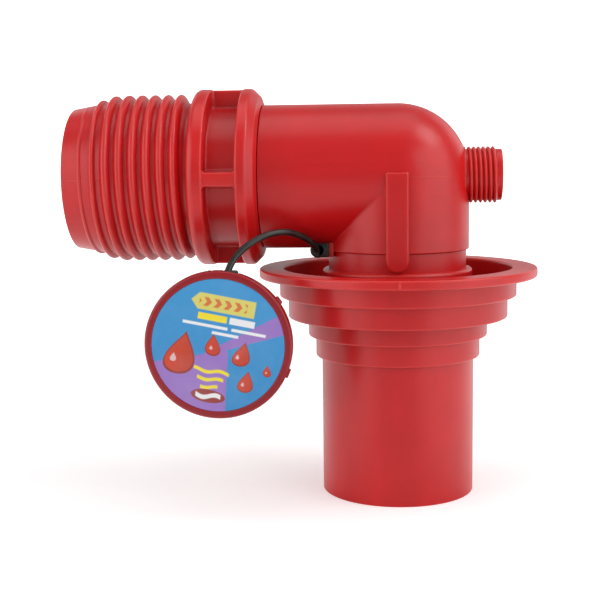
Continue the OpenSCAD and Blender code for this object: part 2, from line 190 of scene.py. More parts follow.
class NodeSheet:
    """A node tree with one maker for every kind of node."""

    def __init__(self, tree: bpy.types.NodeTree) -> None:
        """Takes a tree and empties it."""
        self.tree = tree
        self.tree.nodes.clear()

    def node(
        self, kind: str, sockets: dict[str | int, object] | None = None, **settings: object
    ) -> bpy.types.Node:
        """Adds a node, sets it up and feeds its sockets.

        Args:
            kind: Blender's type name of the node.
            sockets: A value, a link, a node or a Quantity for each input, by name or by number.
            **settings: The node's settings, such as a Math node's operation, which are set first.

        Returns:
            The node.
        """
        made = self.tree.nodes.new(kind)
        for name, value in settings.items():
            setattr(made, name, value)
        for key, value in (sockets or {}).items():
            self._feed(made.inputs[key], value)
        return made

    def _feed(self, socket: bpy.types.NodeSocket, value: object) -> None:
        """Links or sets one input socket. A node stands for its first output."""
        if isinstance(value, Quantity):
            value = value.socket
        elif isinstance(value, bpy.types.Node):
            value = value.outputs[0]
        if isinstance(value, bpy.types.NodeSocket):
            self.tree.links.new(value, socket)
        else:
            socket.default_value = value

    def quantity(self, node: bpy.types.Node, output: str | int = 0) -> Quantity:
        """Wraps a node's number output."""
        return Quantity(self, node.outputs[output])

    def rays(self) -> tuple[Quantity, Quantity]:
        """1 where the camera looks, also through clear things, and 1 where a reflection looks."""
        path = self.node("ShaderNodeLightPath")
        seen = self.quantity(path, "Is Camera Ray") + self.quantity(path, "Is Transmission Ray")
        return seen.clamped(), self.quantity(path, "Is Glossy Ray")


class MaterialSheet(NodeSheet):
    """The node tree of one material."""

    def __init__(self, name: str) -> None:
        """Starts a material of that name."""
        self.material = bpy.data.materials.new(name)
        self.material.use_nodes = True
        super().__init__(self.material.node_tree)

    def place(self) -> bpy.types.NodeSocket:
        """The point's place in the frame, in metres."""
        return self.node("ShaderNodeTexCoord").outputs["Object"]

    def axes(self) -> tuple[Quantity, Quantity, Quantity]:
        """The point's X, Y and Z in metres."""
        split = self.node("ShaderNodeSeparateXYZ", {0: self.place()})
        return self.quantity(split, 0), self.quantity(split, 1), self.quantity(split, 2)

    def stretched(self, scale: Sequence[float]) -> bpy.types.NodeSocket:
        """The point's place with each axis scaled on its own."""
        return self.node("ShaderNodeMapping", {"Vector": self.place(), "Scale": scale}).outputs[0]

    def noise(
        self, scale: float, detail: float = 2.0, roughness: float = 0.5, where: object = None
    ) -> Quantity:
        """Smooth noise of 0 to 1.

        Args:
            scale: Waves per metre.
            detail: Octaves of finer noise.
            roughness: How strong the finer octaves are.
            where: The point that is read, or None for the place in the frame.

        Returns:
            The noise.
        """
        inputs = {"Scale": scale, "Detail": detail, "Roughness": roughness}
        inputs["Vector"] = self.place() if where is None else where
        return self.quantity(self.node("ShaderNodeTexNoise", inputs))

    def edge(self) -> Quantity:
        """The piece's edge value: 1 on a sharp ridge, -1 in a sharp corner and 0 on the flat."""
        return self.quantity(self.node("ShaderNodeAttribute", attribute_name=EDGE), "Fac")

    def blend(self, share: Quantity | float, low: object, high: object) -> bpy.types.NodeSocket:
        """Mixes two colours.

        Args:
            share: 0 for the first colour and 1 for the second.
            low: The first colour or link.
            high: The second colour or link.

        Returns:
            The mixed colour.
        """
        return self.node("ShaderNodeMix", {0: share, 6: low, 7: high}, data_type="RGBA").outputs[2]

    def bump(self, height: Quantity, strength: float, depth: float) -> bpy.types.Node:
        """A normal that follows a height.

        Args:
            height: The height, about 0 to 1.
            strength: How much of the bump shows.
            depth: What a height of 1 stands for, in metres.

        Returns:
            The node that gives the normal.
        """
        return self.node("ShaderNodeBump", {"Height": height, "Strength": strength, "Distance": depth})

    def close(self, shader: bpy.types.Node) -> bpy.types.Material:
        """Closes the material with a shader."""
        self.node("ShaderNodeOutputMaterial", {"Surface": shader})
        return self.material

    def surface(self, sockets: dict[str, object]) -> bpy.types.Material:
        """Closes the material with a Principled shader that has these inputs."""
        return self.close(self.node("ShaderNodeBsdfPrincipled", sockets))


# ---------------------------------------------------------------- finishes


@dataclass(frozen=True)
class MouldedRed:
    """Satin red ABS: cloudy pigment, paler ridges as painted highlights together with scuffed wear,
    painted shade in corners, and a fine moulded grain.
    """

    name: str
    colour: Colour = display(207, 20, 24)
    worn: Colour = display(222, 62, 54)
    deep: Colour = display(156, 8, 15)
    roughness: float = 0.33
    flow: Point = (0.12, 1.0, 1.0)
    cloud_scale: float = 26.0
    flow_scale: float = 60.0
    grain_scale: float = 1500.0
    scratch_scale: float = 90.0
    scratch_squeeze: float = 9.0
    scratch_from: float = 0.62
    pigment_share: float = 0.55
    corner_share: float = 0.7
    ridge_share: float = 0.75
    relief: float = 0.18
    relief_depth: float = 0.00012

    def material(self) -> bpy.types.Material:
        """Builds the material."""
        sheet = MaterialSheet(self.name)
        cloud = sheet.noise(self.cloud_scale, 4.0, 0.55)
        flow = sheet.noise(self.flow_scale, 3.0, 0.6, sheet.stretched(self.flow))
        grain = sheet.noise(self.grain_scale, 2.0, 0.6)
        scratch_place = sheet.stretched((1.0, 1.0, self.scratch_squeeze))
        scratch = sheet.noise(self.scratch_scale, 6.0, 0.75, scratch_place)
        scuff = ((scratch - self.scratch_from) * 9.0).clamped()
        edge = sheet.edge()
        pigment = ((cloud - 0.5) * 1.6 + (flow - 0.5) * 1.2 + 0.35).clamped()
        tone = sheet.blend(pigment * self.pigment_share, self.colour, self.deep)
        # Painted shade: concave corners and thread valleys are darkened towards the dark red.
        tone = sheet.blend((-edge).clamped() * self.corner_share, tone, self.deep)
        # Painted highlight: ridges and rounded edges are made paler, mixed with scuffed patches of real
        # wear.
        ridge_highlight_and_scuff = (edge.clamped() * self.ridge_share + scuff * 0.12).clamped()
        rough = self.roughness + (cloud - 0.5) * 0.16 + scuff * 0.12 + (grain - 0.5) * 0.08
        height = grain * 0.5 + scratch * 0.3 + flow * 0.6
        return sheet.surface(
            {
                "Base Color": sheet.blend(ridge_highlight_and_scuff, tone, self.worn),
                "Roughness": rough.clamped(),
                "IOR": 1.5,
                "Normal": sheet.bump(height, self.relief, self.relief_depth),
            }
        )


@dataclass(frozen=True)
class SealRubber:
    """Matt black rubber with a dusty bloom."""

    name: str = "seal_rubber"
    colour: Colour = display(30, 30, 31)
    dust: Colour = display(66, 64, 62)
    roughness: float = 0.62
    dust_scale: float = 140.0
    dust_share: float = 0.5
    grain_scale: float = 2200.0

    def material(self) -> bpy.types.Material:
        """Builds the material."""
        sheet = MaterialSheet(self.name)
        dust = sheet.noise(self.dust_scale, 5.0, 0.65)
        grain = sheet.noise(self.grain_scale)
        tone = sheet.blend(((dust - 0.45) * 2.5).clamped() * self.dust_share, self.colour, self.dust)
        return sheet.surface(
            {
                "Base Color": tone,
                "Roughness": (self.roughness + (dust - 0.5) * 0.3).clamped(),
                "Normal": sheet.bump(grain, 0.25, 0.0001),
            }
        )


@dataclass(frozen=True)
class WasherNylon:
    """Milky, slightly cloudy nylon."""

    name: str = "washer_nylon"
    colour: Colour = display(226, 220, 202)
    shade: Colour = display(196, 188, 166)
    roughness: float = 0.42
    cloud_scale: float = 220.0

    def material(self) -> bpy.types.Material:
        """Builds the material."""
        sheet = MaterialSheet(self.name)
        cloud = sheet.noise(self.cloud_scale, 4.0)
        return sheet.surface(
            {
                "Base Color": sheet.blend(cloud, self.colour, self.shade),
                "Roughness": self.roughness + (cloud - 0.5) * 0.2,
                "Normal": sheet.bump(cloud, 0.15, 0.0001),
            }
        )


@dataclass(frozen=True)
class SpringSteel:
    """Drawn spring steel with fine lines across its section."""

    name: str = "spring_steel"
    colour: Colour = display(188, 188, 190)
    stain: Colour = display(120, 116, 110)
    roughness: float = 0.3
    line_scale: float = 900.0
    line_squeeze: float = 12.0
    stain_scale: float = 120.0

    def material(self) -> bpy.types.Material:
        """Builds the material."""
        sheet = MaterialSheet(self.name)
        line_place = sheet.stretched((self.line_squeeze, 1.0, 1.0))
        line = sheet.noise(self.line_scale, 3.0, 0.6, line_place)
        stain = sheet.noise(self.stain_scale, 5.0, 0.7)
        tone = sheet.blend(((stain - 0.5) * 2.0).clamped(), self.colour, self.stain)
        return sheet.surface(
            {
                "Base Color": tone,
                "Metallic": 1.0,
                "Roughness": self.roughness + line * 0.16,
                "Normal": sheet.bump(line, 0.12, 0.00005),
            }
        )


@dataclass(frozen=True)
class TetherPlastic:
    """Flexible black plastic with an olive cast, scuffed and slightly glossy."""

    name: str = "tether_black"
    colour: Colour = display(27, 28, 26)
    scuff: Colour = display(74, 73, 64)
    roughness: float = 0.36
    patch_scale: float = 210.0
    patch_share: float = 0.6
    grain_scale: float = 1800.0

    def material(self) -> bpy.types.Material:
        """Builds the material."""
        sheet = MaterialSheet(self.name)
        patch = sheet.noise(self.patch_scale, 5.0, 0.65)
        grain = sheet.noise(self.grain_scale, 3.0)
        tone = sheet.blend(((patch - 0.42) * 2.2).clamped() * self.patch_share, self.colour, self.scuff)
        return sheet.surface(
            {
                "Base Color": tone,
                "Roughness": (self.roughness + (patch - 0.5) * 0.3).clamped(),
                "Normal": sheet.bump(grain * 0.6 + patch, 0.3, 0.0002),
            }
        )


class Ink(Enum):
    """The label's printing inks."""

    SKY = display(58, 152, 212)
    AZURE = display(40, 138, 200)
    LILAC = display(154, 116, 196)
    YELLOW = display(244, 224, 30)
    ORANGE = display(216, 62, 20)
    RUST = display(150, 40, 26)
    WHITE = display(240, 240, 242)


@dataclass(frozen=True)
class Drop:
    """A drop motif on the label. Sizes are shares of the label's radius."""

    across: float
    up: float
    radius: float
    lean: float = 0.0


@dataclass(frozen=True)
class LabelPrint:
    """A printed label: sky and lilac fields, a yellow banner, rule lines, drops, ripples and a badge."""

    centre_x: float
    centre_z: float
    radius: float
    name: str = "label_print"
    turn: float = math.radians(-11.0)
    soft: float = 0.014
    drops: tuple[Drop, ...] = (
        Drop(-0.56, -0.2, 0.3, 0.1),
        Drop(-0.06, 0.0, 0.15, -0.08),
        Drop(0.36, -0.06, 0.17, 0.12),
        Drop(0.5, -0.46, 0.15, 0.06),
        Drop(0.8, -0.24, 0.08, -0.1),
    )
    rules: tuple[tuple[float, float, float, float, Ink], ...] = (
        (-0.15, 0.4, 0.22, 0.05, Ink.YELLOW),
        (0.3, 0.4, 0.19, 0.05, Ink.WHITE),
        (-0.24, 0.27, 0.34, 0.022, Ink.WHITE),
        (0.42, 0.27, 0.26, 0.022, Ink.WHITE),
        (0.08, 0.18, 0.2, 0.022, Ink.WHITE),
    )
    banner_up: float = 0.62
    banner_half: float = 0.125
    chevron_half: float = 0.066
    chevrons: float = 6.5
    ripple_up: float = -0.4
    ripple_gap: float = 0.12
    badge_up: float = -0.78
    roughness: float = 0.3
    coat: float = 0.4
    coat_roughness: float = 0.18
    tint_scale: float = 60.0
    scuff_scale: float = 240.0
    wrinkle_scale: float = 45.0

    def _label_axes(self, sheet: MaterialSheet) -> tuple[Quantity, Quantity]:
        """The point across and up the label, in shares of its radius."""
        x, _, z = sheet.axes()
        right = (x - self.centre_x * MM) / (self.radius * MM)
        up = (z - self.centre_z * MM) / (self.radius * MM)
        cosine = math.cos(self.turn)
        sine = math.sin(self.turn)
        return right * cosine + up * sine, up * cosine - right * sine

    def _bar(
        self, across: Quantity, up: Quantity, bar: tuple[float, float, float, float, Ink]
    ) -> Quantity:
        """A bar with a middle, a half length and a half height."""
        middle, height, half_length, half_height, _ = bar
        inside = (across - middle).size().under(half_length, self.soft)
        return inside * (up - height).size().under(half_height, self.soft)

    def _drop(self, across: Quantity, up: Quantity, drop: Drop, swell: float = 1.0) -> Quantity:
        """A drop with a round foot and a pointed top that leans a little."""
        radius = drop.radius * swell
        height = (up - drop.up) / radius
        held = height.most(-1.0).least(1.0)
        half_width = ((1.0 - held * held).most(0.0)).root() * (((1.0 - held) * 0.5) ** 0.75) * radius
        sway = across - drop.across - (height + 1.0) * (drop.lean * radius)
        return sway.size().under(half_width, self.soft) * height.size().under(1.0, self.soft)

    def material(self) -> bpy.types.Material:
        """Builds the material."""
        sheet = MaterialSheet(self.name)
        across, up = self._label_axes(sheet)
        tint = sheet.noise(self.tint_scale, 3.0)
        ink = sheet.blend((up * 0.5 + 0.5).clamped(), Ink.AZURE.value, Ink.SKY.value)
        beam_half = (across * 0.14 + 0.05).most(0.0)
        beam = (up - across * 0.62 + 0.06).size().under(beam_half, self.soft)
        field_top = (up - across * 0.35 + 0.1).under(0.0, self.soft)
        field = field_top * (across + up * 0.12).under(0.16, self.soft)
        ink = sheet.blend((beam + field).clamped(), ink, Ink.LILAC.value)
        ink = self._banner(sheet, across, up, ink)
        for rule in self.rules:
            ink = sheet.blend(self._bar(across, up, rule), ink, rule[-1].value)
        for drop in self.drops:
            ink = sheet.blend(self._drop(across, up, drop, 1.12), ink, Ink.RUST.value)
            shade = ((across - drop.across) / drop.radius * 0.5 + 0.5).clamped()
            body = sheet.blend(shade * 0.5, Ink.ORANGE.value, Ink.RUST.value)
            ink = sheet.blend(self._drop(across, up, drop), ink, body)
            shine = Drop(drop.across - drop.radius * 0.24, drop.up - drop.radius * 0.3, drop.radius * 0.22)
            ink = sheet.blend(self._drop(across, up, shine) * 0.55, ink, Ink.WHITE.value)
        ink = self._ripples(sheet, across, up, ink)
        ink = sheet.blend((tint - 0.5).size() * 0.2, ink, Ink.WHITE.value)
        scuff = ((sheet.noise(self.scuff_scale, 6.0, 0.75) - 0.6) * 6.0).clamped()
        return sheet.surface(
            {
                "Base Color": ink,
                "Roughness": self.roughness + (tint - 0.5) * 0.14 + scuff * 0.16,
                "Coat Weight": self.coat,
                "Coat Roughness": self.coat_roughness,
                "Normal": sheet.bump(sheet.noise(self.wrinkle_scale), 0.2, 0.0004),
            }
        )

    def _banner(
        self, sheet: MaterialSheet, across: Quantity, up: Quantity, ink: object
    ) -> bpy.types.NodeSocket:
        """The yellow banner with a swallow tail and a row of orange chevrons."""
        lift = up - self.banner_up
        tail = lift.size() * 0.9 - 0.5
        length = (across.most(tail) - across).size().under(0.004, self.soft)
        length = length * across.under(0.46, self.soft)
        banner = length * lift.size().under(self.banner_half, self.soft)
        ink = sheet.blend(banner, ink, Ink.YELLOW.value)
        row = ((across + lift.size() * 0.8) * self.chevrons).part()
        chevron = (row - 0.5).size().under(0.24, 0.08) * lift.size().under(self.chevron_half, self.soft)
        span = (across + 0.02).size().under(0.36, self.soft)
        return sheet.blend(chevron * span * banner, ink, Ink.ORANGE.value)

    def _ripples(
        self, sheet: MaterialSheet, across: Quantity, up: Quantity, ink: object
    ) -> bpy.types.NodeSocket:
        """Three yellow wavy lines below the drops, and a dark badge with a white one."""
        wave = (across * 16.0).sine() * 0.02
        for step in range(3):
            height = self.ripple_up - step * self.ripple_gap
            line = (up - height - wave).size().under(0.026, self.soft)
            line = line * (across + 0.03).size().under(0.27 - step * 0.07, self.soft)
            ink = sheet.blend(line, ink, Ink.YELLOW.value)
        reach = ((across + 0.02) / 0.26) ** 2.0
        badge = (reach + ((up - self.badge_up) / 0.1) ** 2.0).under(1.0, 0.12)
        ink = sheet.blend(badge, ink, Ink.RUST.value)
        crest = (up - self.badge_up - wave * 1.4).size().under(0.034, self.soft)
        crest = crest * (across + 0.02).size().under(0.19, self.soft)
        return sheet.blend(crest, ink, Ink.WHITE.value)


@dataclass(frozen=True)
class Backing:
    """The pale floor and backdrop.

    The camera sees it near white, and whiter away from the fitting. Reflections see brighter sides.
    """

    name: str = "studio_paper"
    paper: float = 0.82
    lift: float = 0.4
    far_lift: float = 0.62
    side_glow: float = 0.6
    side_slope: float = 0.45
    side_soft: float = 0.08
    lift_from: float = 0.15
    lift_over: float = 0.45
    rim_lift: float = 0.6
    rim_from: float = 0.8
    rim_over: float = 0.5

    def material(self) -> bpy.types.Material:
        """Builds the material."""
        sheet = MaterialSheet(self.name)
        seen, glossy = sheet.rays()
        across, depth, _ = sheet.axes()
        beside = ((across.size() - depth.size() * self.side_slope) / self.side_soft).eased()
        share = ((depth - self.lift_from) / self.lift_over).eased()
        rim = ((across.size().most(depth.size()) - self.rim_from) / self.rim_over).eased()
        lift = self.lift + share * (self.far_lift - self.lift) + rim * self.rim_lift
        mottle = sheet.blend(sheet.noise(9.0) * 0.02, (*[self.paper] * 3, 1.0), (0.8, 0.8, 0.8, 1.0))
        diffuse = sheet.node("ShaderNodeBsdfDiffuse", {"Color": mottle})
        strength = seen * lift + glossy * beside * self.side_glow
        glow = sheet.node("ShaderNodeEmission", {"Color": (1.0,) * 4, "Strength": strength})
        return sheet.close(sheet.node("ShaderNodeAddShader", {0: diffuse, 1: glow}))


# ---------------------------------------------------------------- outlines and shells


def rounded(points: Sequence[ProfilePoint], closed: bool, steps: int = 6) -> list[tuple[float, float]]:
    """Rounds the corners of an outline.

    Args:
        points: Radius, height and rounding of each corner.
        closed: Whether the last point joins the first one.
        steps: Parts of each rounding.

    Returns:
        The outline with its arcs, and with a point close to each arc on long straight stretches.
    """
    count = len(points)
    outline: list[tuple[float, float]] = []
    for index, (radius, height, rounding) in enumerate(points):
        here = Vector((radius, height))
        if rounding == 0 or (not closed and index in (0, count - 1)):
            outline.append((radius, height))
            continue
        before = Vector(points[(index - 1) % count][:2]) - here
        after = Vector(points[(index + 1) % count][:2]) - here
        u, v = before.normalized(), after.normalized()
        half = math.acos(max(-1.0, min(1.0, u.dot(v)))) / 2
        if abs(math.cos(half * 2)) > 0.999:
            outline.append((radius, height))
            continue
        reach = min(rounding / math.tan(half), before.length * 0.48, after.length * 0.48)
        bend = reach * math.tan(half)
        middle = here + (u + v).normalized() * (bend / math.sin(half))
        start = here + u * reach - middle
        first = math.atan2(start.y, start.x)
        end = here + v * reach - middle
        turn = math.remainder(math.atan2(end.y, end.x) - first, math.tau)
        for step in range(steps + 1):
            angle = first + turn * step / steps
            outline.append((middle.x + bend * math.cos(angle), middle.y + bend * math.sin(angle)))
    return with_supports(outline, closed)


def with_supports(
    outline: Sequence[tuple[float, float]], closed: bool, gap: float = 0.35
) -> list[tuple[float, float]]:
    """Adds a point near both ends of each long stretch, so that flats shade flat.

    Args:
        outline: The outline's points.
        closed: Whether the last point joins the first one.
        gap: How far the new points lie from the ends.

    Returns:
        The outline with the new points.
    """
    result: list[tuple[float, float]] = []
    count = len(outline)
    for index in range(count):
        here = Vector(outline[index])
        result.append(tuple(here))
        if index == count - 1 and not closed:
            break
        step = Vector(outline[(index + 1) % count]) - here
        if step.length > 4 * gap:
            unit = step.normalized()
            result.append(tuple(here + unit * gap))
            result.append(tuple(here + step - unit * gap))
    return result


class Axis(Enum):
    """The axes that turned shapes stand on, as (X, Y and Z of the local axes, in the frame)."""

    UP = ((1, 0, 0), (0, 1, 0), (0, 0, 1))
    HOSE = ((0, 0, 1), (0, 1, 0), (-1, 0, 0))
    RINSE = ((0, 0, -1), (0, 1, 0), (1, 0, 0))
    CAP = ((1, 0, 0), (0, 0, -1), (0, 1, 0))
    FRONT = ((1, 0, 0), (0, 0, 1), (0, -1, 0))


@dataclass
class Shell:
    """A mesh in the making: points in millimetres in the frame, and faces."""

    points: np.ndarray
    faces: list[tuple[int, ...]]

    @staticmethod
    def grid(rows: np.ndarray, closed: bool) -> "Shell":
        """Joins rows of points into a skin that is round in each row.

        Args:
            rows: Array of rows, columns and coordinates.
            closed: Whether the last row joins the first one.

        Returns:
            The skin.
        """
        count, columns = rows.shape[:2]
        last = count if closed else count - 1
        low = (np.arange(last)[:, None] * columns + np.arange(columns)).ravel()
        right = (np.arange(last)[:, None] * columns + (np.arange(columns) + 1) % columns).ravel()
        total = count * columns
        faces = np.stack([low, right, (right + columns) % total, (low + columns) % total], axis=1)
        return Shell(rows.reshape(-1, 3), [tuple(face) for face in faces.tolist()])

    @staticmethod
    def rings(
        outline: Sequence[tuple[float, float]],
        axis: Axis,
        origin: Sequence[float],
        columns: int = COLUMNS,
    ) -> np.ndarray:
        """Rows of points round an axis, one for each radius and height of an outline."""
        shape = np.array(outline, float)
        angles = np.arange(columns) * math.tau / columns
        local = np.stack(
            [
                np.outer(shape[:, 0], np.cos(angles)),
                np.outer(shape[:, 0], np.sin(angles)),
                np.repeat(shape[:, 1:], columns, axis=1),
            ],
            axis=2,
        )
        return local @ np.array(axis.value, float) + np.array(origin, float)

    @staticmethod
    def turned(
        outline: Sequence[tuple[float, float]],
        axis: Axis,
        origin: Sequence[float],
        closed: bool = False,
        columns: int = COLUMNS,
    ) -> "Shell":
        """Turns an outline of radius and height about an axis, as it is."""
        return Shell.grid(Shell.rings(outline, axis, origin, columns), closed)

    @staticmethod
    def lathed(
        corners: Sequence[ProfilePoint],
        axis: Axis,
        origin: Sequence[float],
        closed: bool = False,
        columns: int = COLUMNS,
        steps: int = 6,
    ) -> "Shell":
        """Rounds an outline's corners and turns it about an axis.

        Args:
            corners: Radius, height and rounding of each corner.
            axis: The axis that the heights run along.
            origin: The axis's origin in the frame.
            closed: Whether the outline is a loop.
            columns: Parts of the circle.
            steps: Parts of each rounding.

        Returns:
            The turned shell.
        """
        return Shell.turned(rounded(corners, closed, steps), axis, origin, closed, columns)

    @staticmethod
    def block(low: Sequence[float], high: Sequence[float], rounding: float) -> "Shell":
        """A block between two corners with rounded edges."""
        mesh = bmesh.new()
        bmesh.ops.create_cube(mesh, size=1.0)
        span = Vector(high) - Vector(low)
        middle = (Vector(high) + Vector(low)) / 2
        for vertex in mesh.verts:
            vertex.co = Vector(c * s for c, s in zip(vertex.co, span)) + middle
        bmesh.ops.bevel(
            mesh, geom=mesh.edges[:], offset=rounding, segments=4, profile=0.5, affect="EDGES"
        )
        mesh.verts.index_update()
        points = np.array([vertex.co for vertex in mesh.verts], float)
        faces = [tuple(vertex.index for vertex in face.verts) for face in mesh.faces]
        mesh.free()
        return Shell(points, faces)

    @staticmethod
    def bead(path: np.ndarray, outwards: np.ndarray) -> "Shell":
        """A mould's parting line: a low bead with a sunk foot along a level path on a surface.

        Args:
            path: Points on the surface.
            outwards: The surface's direction at each point.

        Returns:
            The bead.
        """
        foot = path - outwards * BEAD_SUNK
        top = path + outwards * BEAD_HEIGHT
        side = np.array((0.0, 0.0, BEAD_WIDTH))
        rows = np.stack([foot - side / 2, top - side / 6, top + side / 6, foot + side / 2], axis=1)
        bead = Shell.grid(rows, False)
        last = len(bead.points)
        ends = [tuple(range(4)), tuple(range(last - 4, last))]
        return Shell(bead.points, [*bead.faces, *ends])

    def turned_about(self, axis: Vector, angle: float, centre: Sequence[float]) -> "Shell":
        """The shell turned about an axis through a centre."""
        turn = np.array(Matrix.Rotation(angle, 3, axis), float)
        middle = np.array(centre, float)
        return Shell((self.points - middle) @ turn.T + middle, self.faces)

    @staticmethod
    def joined(shells: Iterable["Shell"]) -> "Shell":
        """Several shells as one."""
        points: list[np.ndarray] = []
        faces: list[tuple[int, ...]] = []
        start = 0
        for shell in shells:
            points.append(shell.points)
            faces.extend(tuple(index + start for index in face) for face in shell.faces)
            start += len(shell.points)
        return Shell(np.concatenate(points), faces)

    @staticmethod
    def of_mesh(mesh: bpy.types.Mesh) -> "Shell":
        """A Blender mesh as a shell."""
        points = np.array([vertex.co for vertex in mesh.vertices], float) / MM
        return Shell(points, [tuple(face.vertices) for face in mesh.polygons])

    def mesh(self, name: str) -> bpy.types.Mesh:
        """The shell as a welded, smooth Blender mesh whose faces point outwards."""
        made = bpy.data.meshes.new(name)
        made.from_pydata((self.points * MM).tolist(), [], self.faces)
        work = bmesh.new()
        work.from_mesh(made)
        bmesh.ops.remove_doubles(work, verts=work.verts, dist=WELD)
        bmesh.ops.dissolve_degenerate(work, dist=WELD / 2, edges=work.edges)
        bmesh.ops.recalc_face_normals(work, faces=work.faces)
        for face in work.faces:
            face.smooth = True
        work.to_mesh(made)
        work.free()
        return made


def cut(whole: Shell, cutter: Shell) -> bpy.types.Mesh:
    """Cuts a shell's closed parts out of another shell.

    Args:
        whole: The shell that is cut.
        cutter: One or more closed parts that stay clear of each other.

    Returns:
        The cut mesh, smooth.
    """
    tool = bpy.data.objects.new("cutter", cutter.mesh("cutter"))
    body = bpy.data.objects.new("uncut", whole.mesh("uncut"))
    for part in (tool, body):
        bpy.context.scene.collection.objects.link(part)
    change = body.modifiers.new("cut", "BOOLEAN")
    change.operation = "DIFFERENCE"
    change.solver = "EXACT"
    change.object = tool
    graph = bpy.context.evaluated_depsgraph_get()
    graph.update()
    made = bpy.data.meshes.new_from_object(body.evaluated_get(graph))
    body.modifiers.clear()
    bpy.data.objects.remove(body)
    bpy.data.objects.remove(tool)
    for face in made.polygons:
        face.use_smooth = True
    return made


def mark_edges(mesh: bpy.types.Mesh, sharpest: float = 1.1, smoothing: int = 2) -> None:
    """Stores how sharply the surface bends at each vertex, for painted highlights on ridges and painted
    shade in corners.

    Args:
        mesh: The mesh, in metres.
        sharpest: Radius in millimetres that counts as fully sharp.
        smoothing: How many times the value is spread to the neighbours.
    """
    count = len(mesh.vertices)
    points = np.zeros(count * 3)
    mesh.vertices.foreach_get("co", points)
    points = points.reshape(-1, 3)
    normals = np.zeros(count * 3)
    mesh.vertex_normals.foreach_get("vector", normals)
    normals = normals.reshape(-1, 3)
    ends = np.zeros(len(mesh.edges) * 2, int)
    mesh.edges.foreach_get("vertices", ends)
    a, b = ends.reshape(-1, 2).T
    step = points[b] - points[a]
    square = np.maximum((step**2).sum(1), 1e-12)
    bend_a = -2 * (normals[a] * step).sum(1) / square
    bend_b = 2 * (normals[b] * step).sum(1) / square
    near = np.maximum(np.bincount(a, minlength=count) + np.bincount(b, minlength=count), 1)
    total = np.bincount(a, bend_a, count) + np.bincount(b, bend_b, count)
    value = np.clip(total / near * sharpest * MM, -1, 1)
    for _ in range(smoothing):
        spread = np.bincount(a, value[b], count) + np.bincount(b, value[a], count)
        value = 0.5 * value + 0.5 * spread / near
    layer = mesh.attributes.new(EDGE, "FLOAT", "POINT")
    layer.data.foreach_set("value", value.astype(np.float32))


@dataclass
class Workbench:
    """Turns shapes into dressed pieces that ride on the frame's bodies, and reports each one."""

    made: list[str] = field(default_factory=list)

    def piece(
        self,
        name: str,
        shape: Shell | bpy.types.Mesh,
        body: str,
        material: bpy.types.Material,
        slot: str,
        replaces: Sequence[str] = (),
    ) -> bpy.types.Object:
        """slot: The record's material slot. Not used.
            replaces: CAD nodes that it stands for.

        Returns:
            The piece.
        """
        mesh = shape.mesh(name) if isinstance(shape, Shell) else shape
        mesh.materials.clear()
        mesh.materials.append(material)
        if EDGE not in mesh.attributes:
            mark_edges(mesh)
        piece = bpy.data.objects.new(name, mesh)
        bpy.context.scene.collection.objects.link(piece)
        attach(piece, body)
        if replaces:
            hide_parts(*replaces)
        self.made.append(name)
        LOG.info("%s: %d vertices, rides on %s", name, len(mesh.vertices), body)
        return piece

    def dress(self, node: str, material: bpy.types.Material) -> None:
        """Gives a CAD node that stays its finish."""
        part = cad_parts[node]
        if not part.material_slots:
            part.data.materials.append(material)
        for holder in part.material_slots:
            holder.material = material
        self.made.append(node)
        LOG.info("%s: CAD node, dressed in %s", node, material.name)


# ---------------------------------------------------------------- rule-made skins


class GeometrySheet(NodeSheet):
    """A Geometry Nodes tree with named inputs, run once on an empty mesh."""

    def __init__(self, name: str, inputs: dict[str, float]) -> None:
        """Starts a tree.

        Args:
            name: The tree's name.
            inputs: The named number inputs and their values.
        """
        tree = bpy.data.node_groups.new(name, "GeometryNodeTree")
        super().__init__(tree)
        self.values = inputs
        self.sockets = {
            label: tree.interface.new_socket(label, in_out="INPUT", socket_type="NodeSocketFloat")
            for label in inputs
        }
        tree.interface.new_socket("Geometry", in_out="OUTPUT", socket_type="NodeSocketGeometry")
        self.entry = self.node("NodeGroupInput")

    def given(self, label: str) -> Quantity:
        """A named input."""
        return self.quantity(self.entry, label)

    def run(self, geometry: bpy.types.Node, material: bpy.types.Material) -> Shell:
        """Ends the tree with real geometry that has its material, and evaluates it.

        Args:
            geometry: The node that gives the geometry.
            material: The finish.

        Returns:
            The plain skin.
        """
        real = self.node("GeometryNodeRealizeInstances", {0: geometry})
        dressed = self.node("GeometryNodeSetMaterial", {"Geometry": real, "Material": material})
        self.node("NodeGroupOutput", {0: dressed})
        carrier = bpy.data.objects.new(self.tree.name, bpy.data.meshes.new(self.tree.name))
        bpy.context.scene.collection.objects.link(carrier)
        modifier = carrier.modifiers.new(self.tree.name, "NODES")
        modifier.node_group = self.tree
        for label, value in self.values.items():
            modifier[self.sockets[label].identifier] = value
        graph = bpy.context.evaluated_depsgraph_get()
        graph.update()
        made = bpy.data.meshes.new_from_object(carrier.evaluated_get(graph))
        carrier.modifiers.clear()
        bpy.data.objects.remove(carrier)
        return Shell.of_mesh(made)


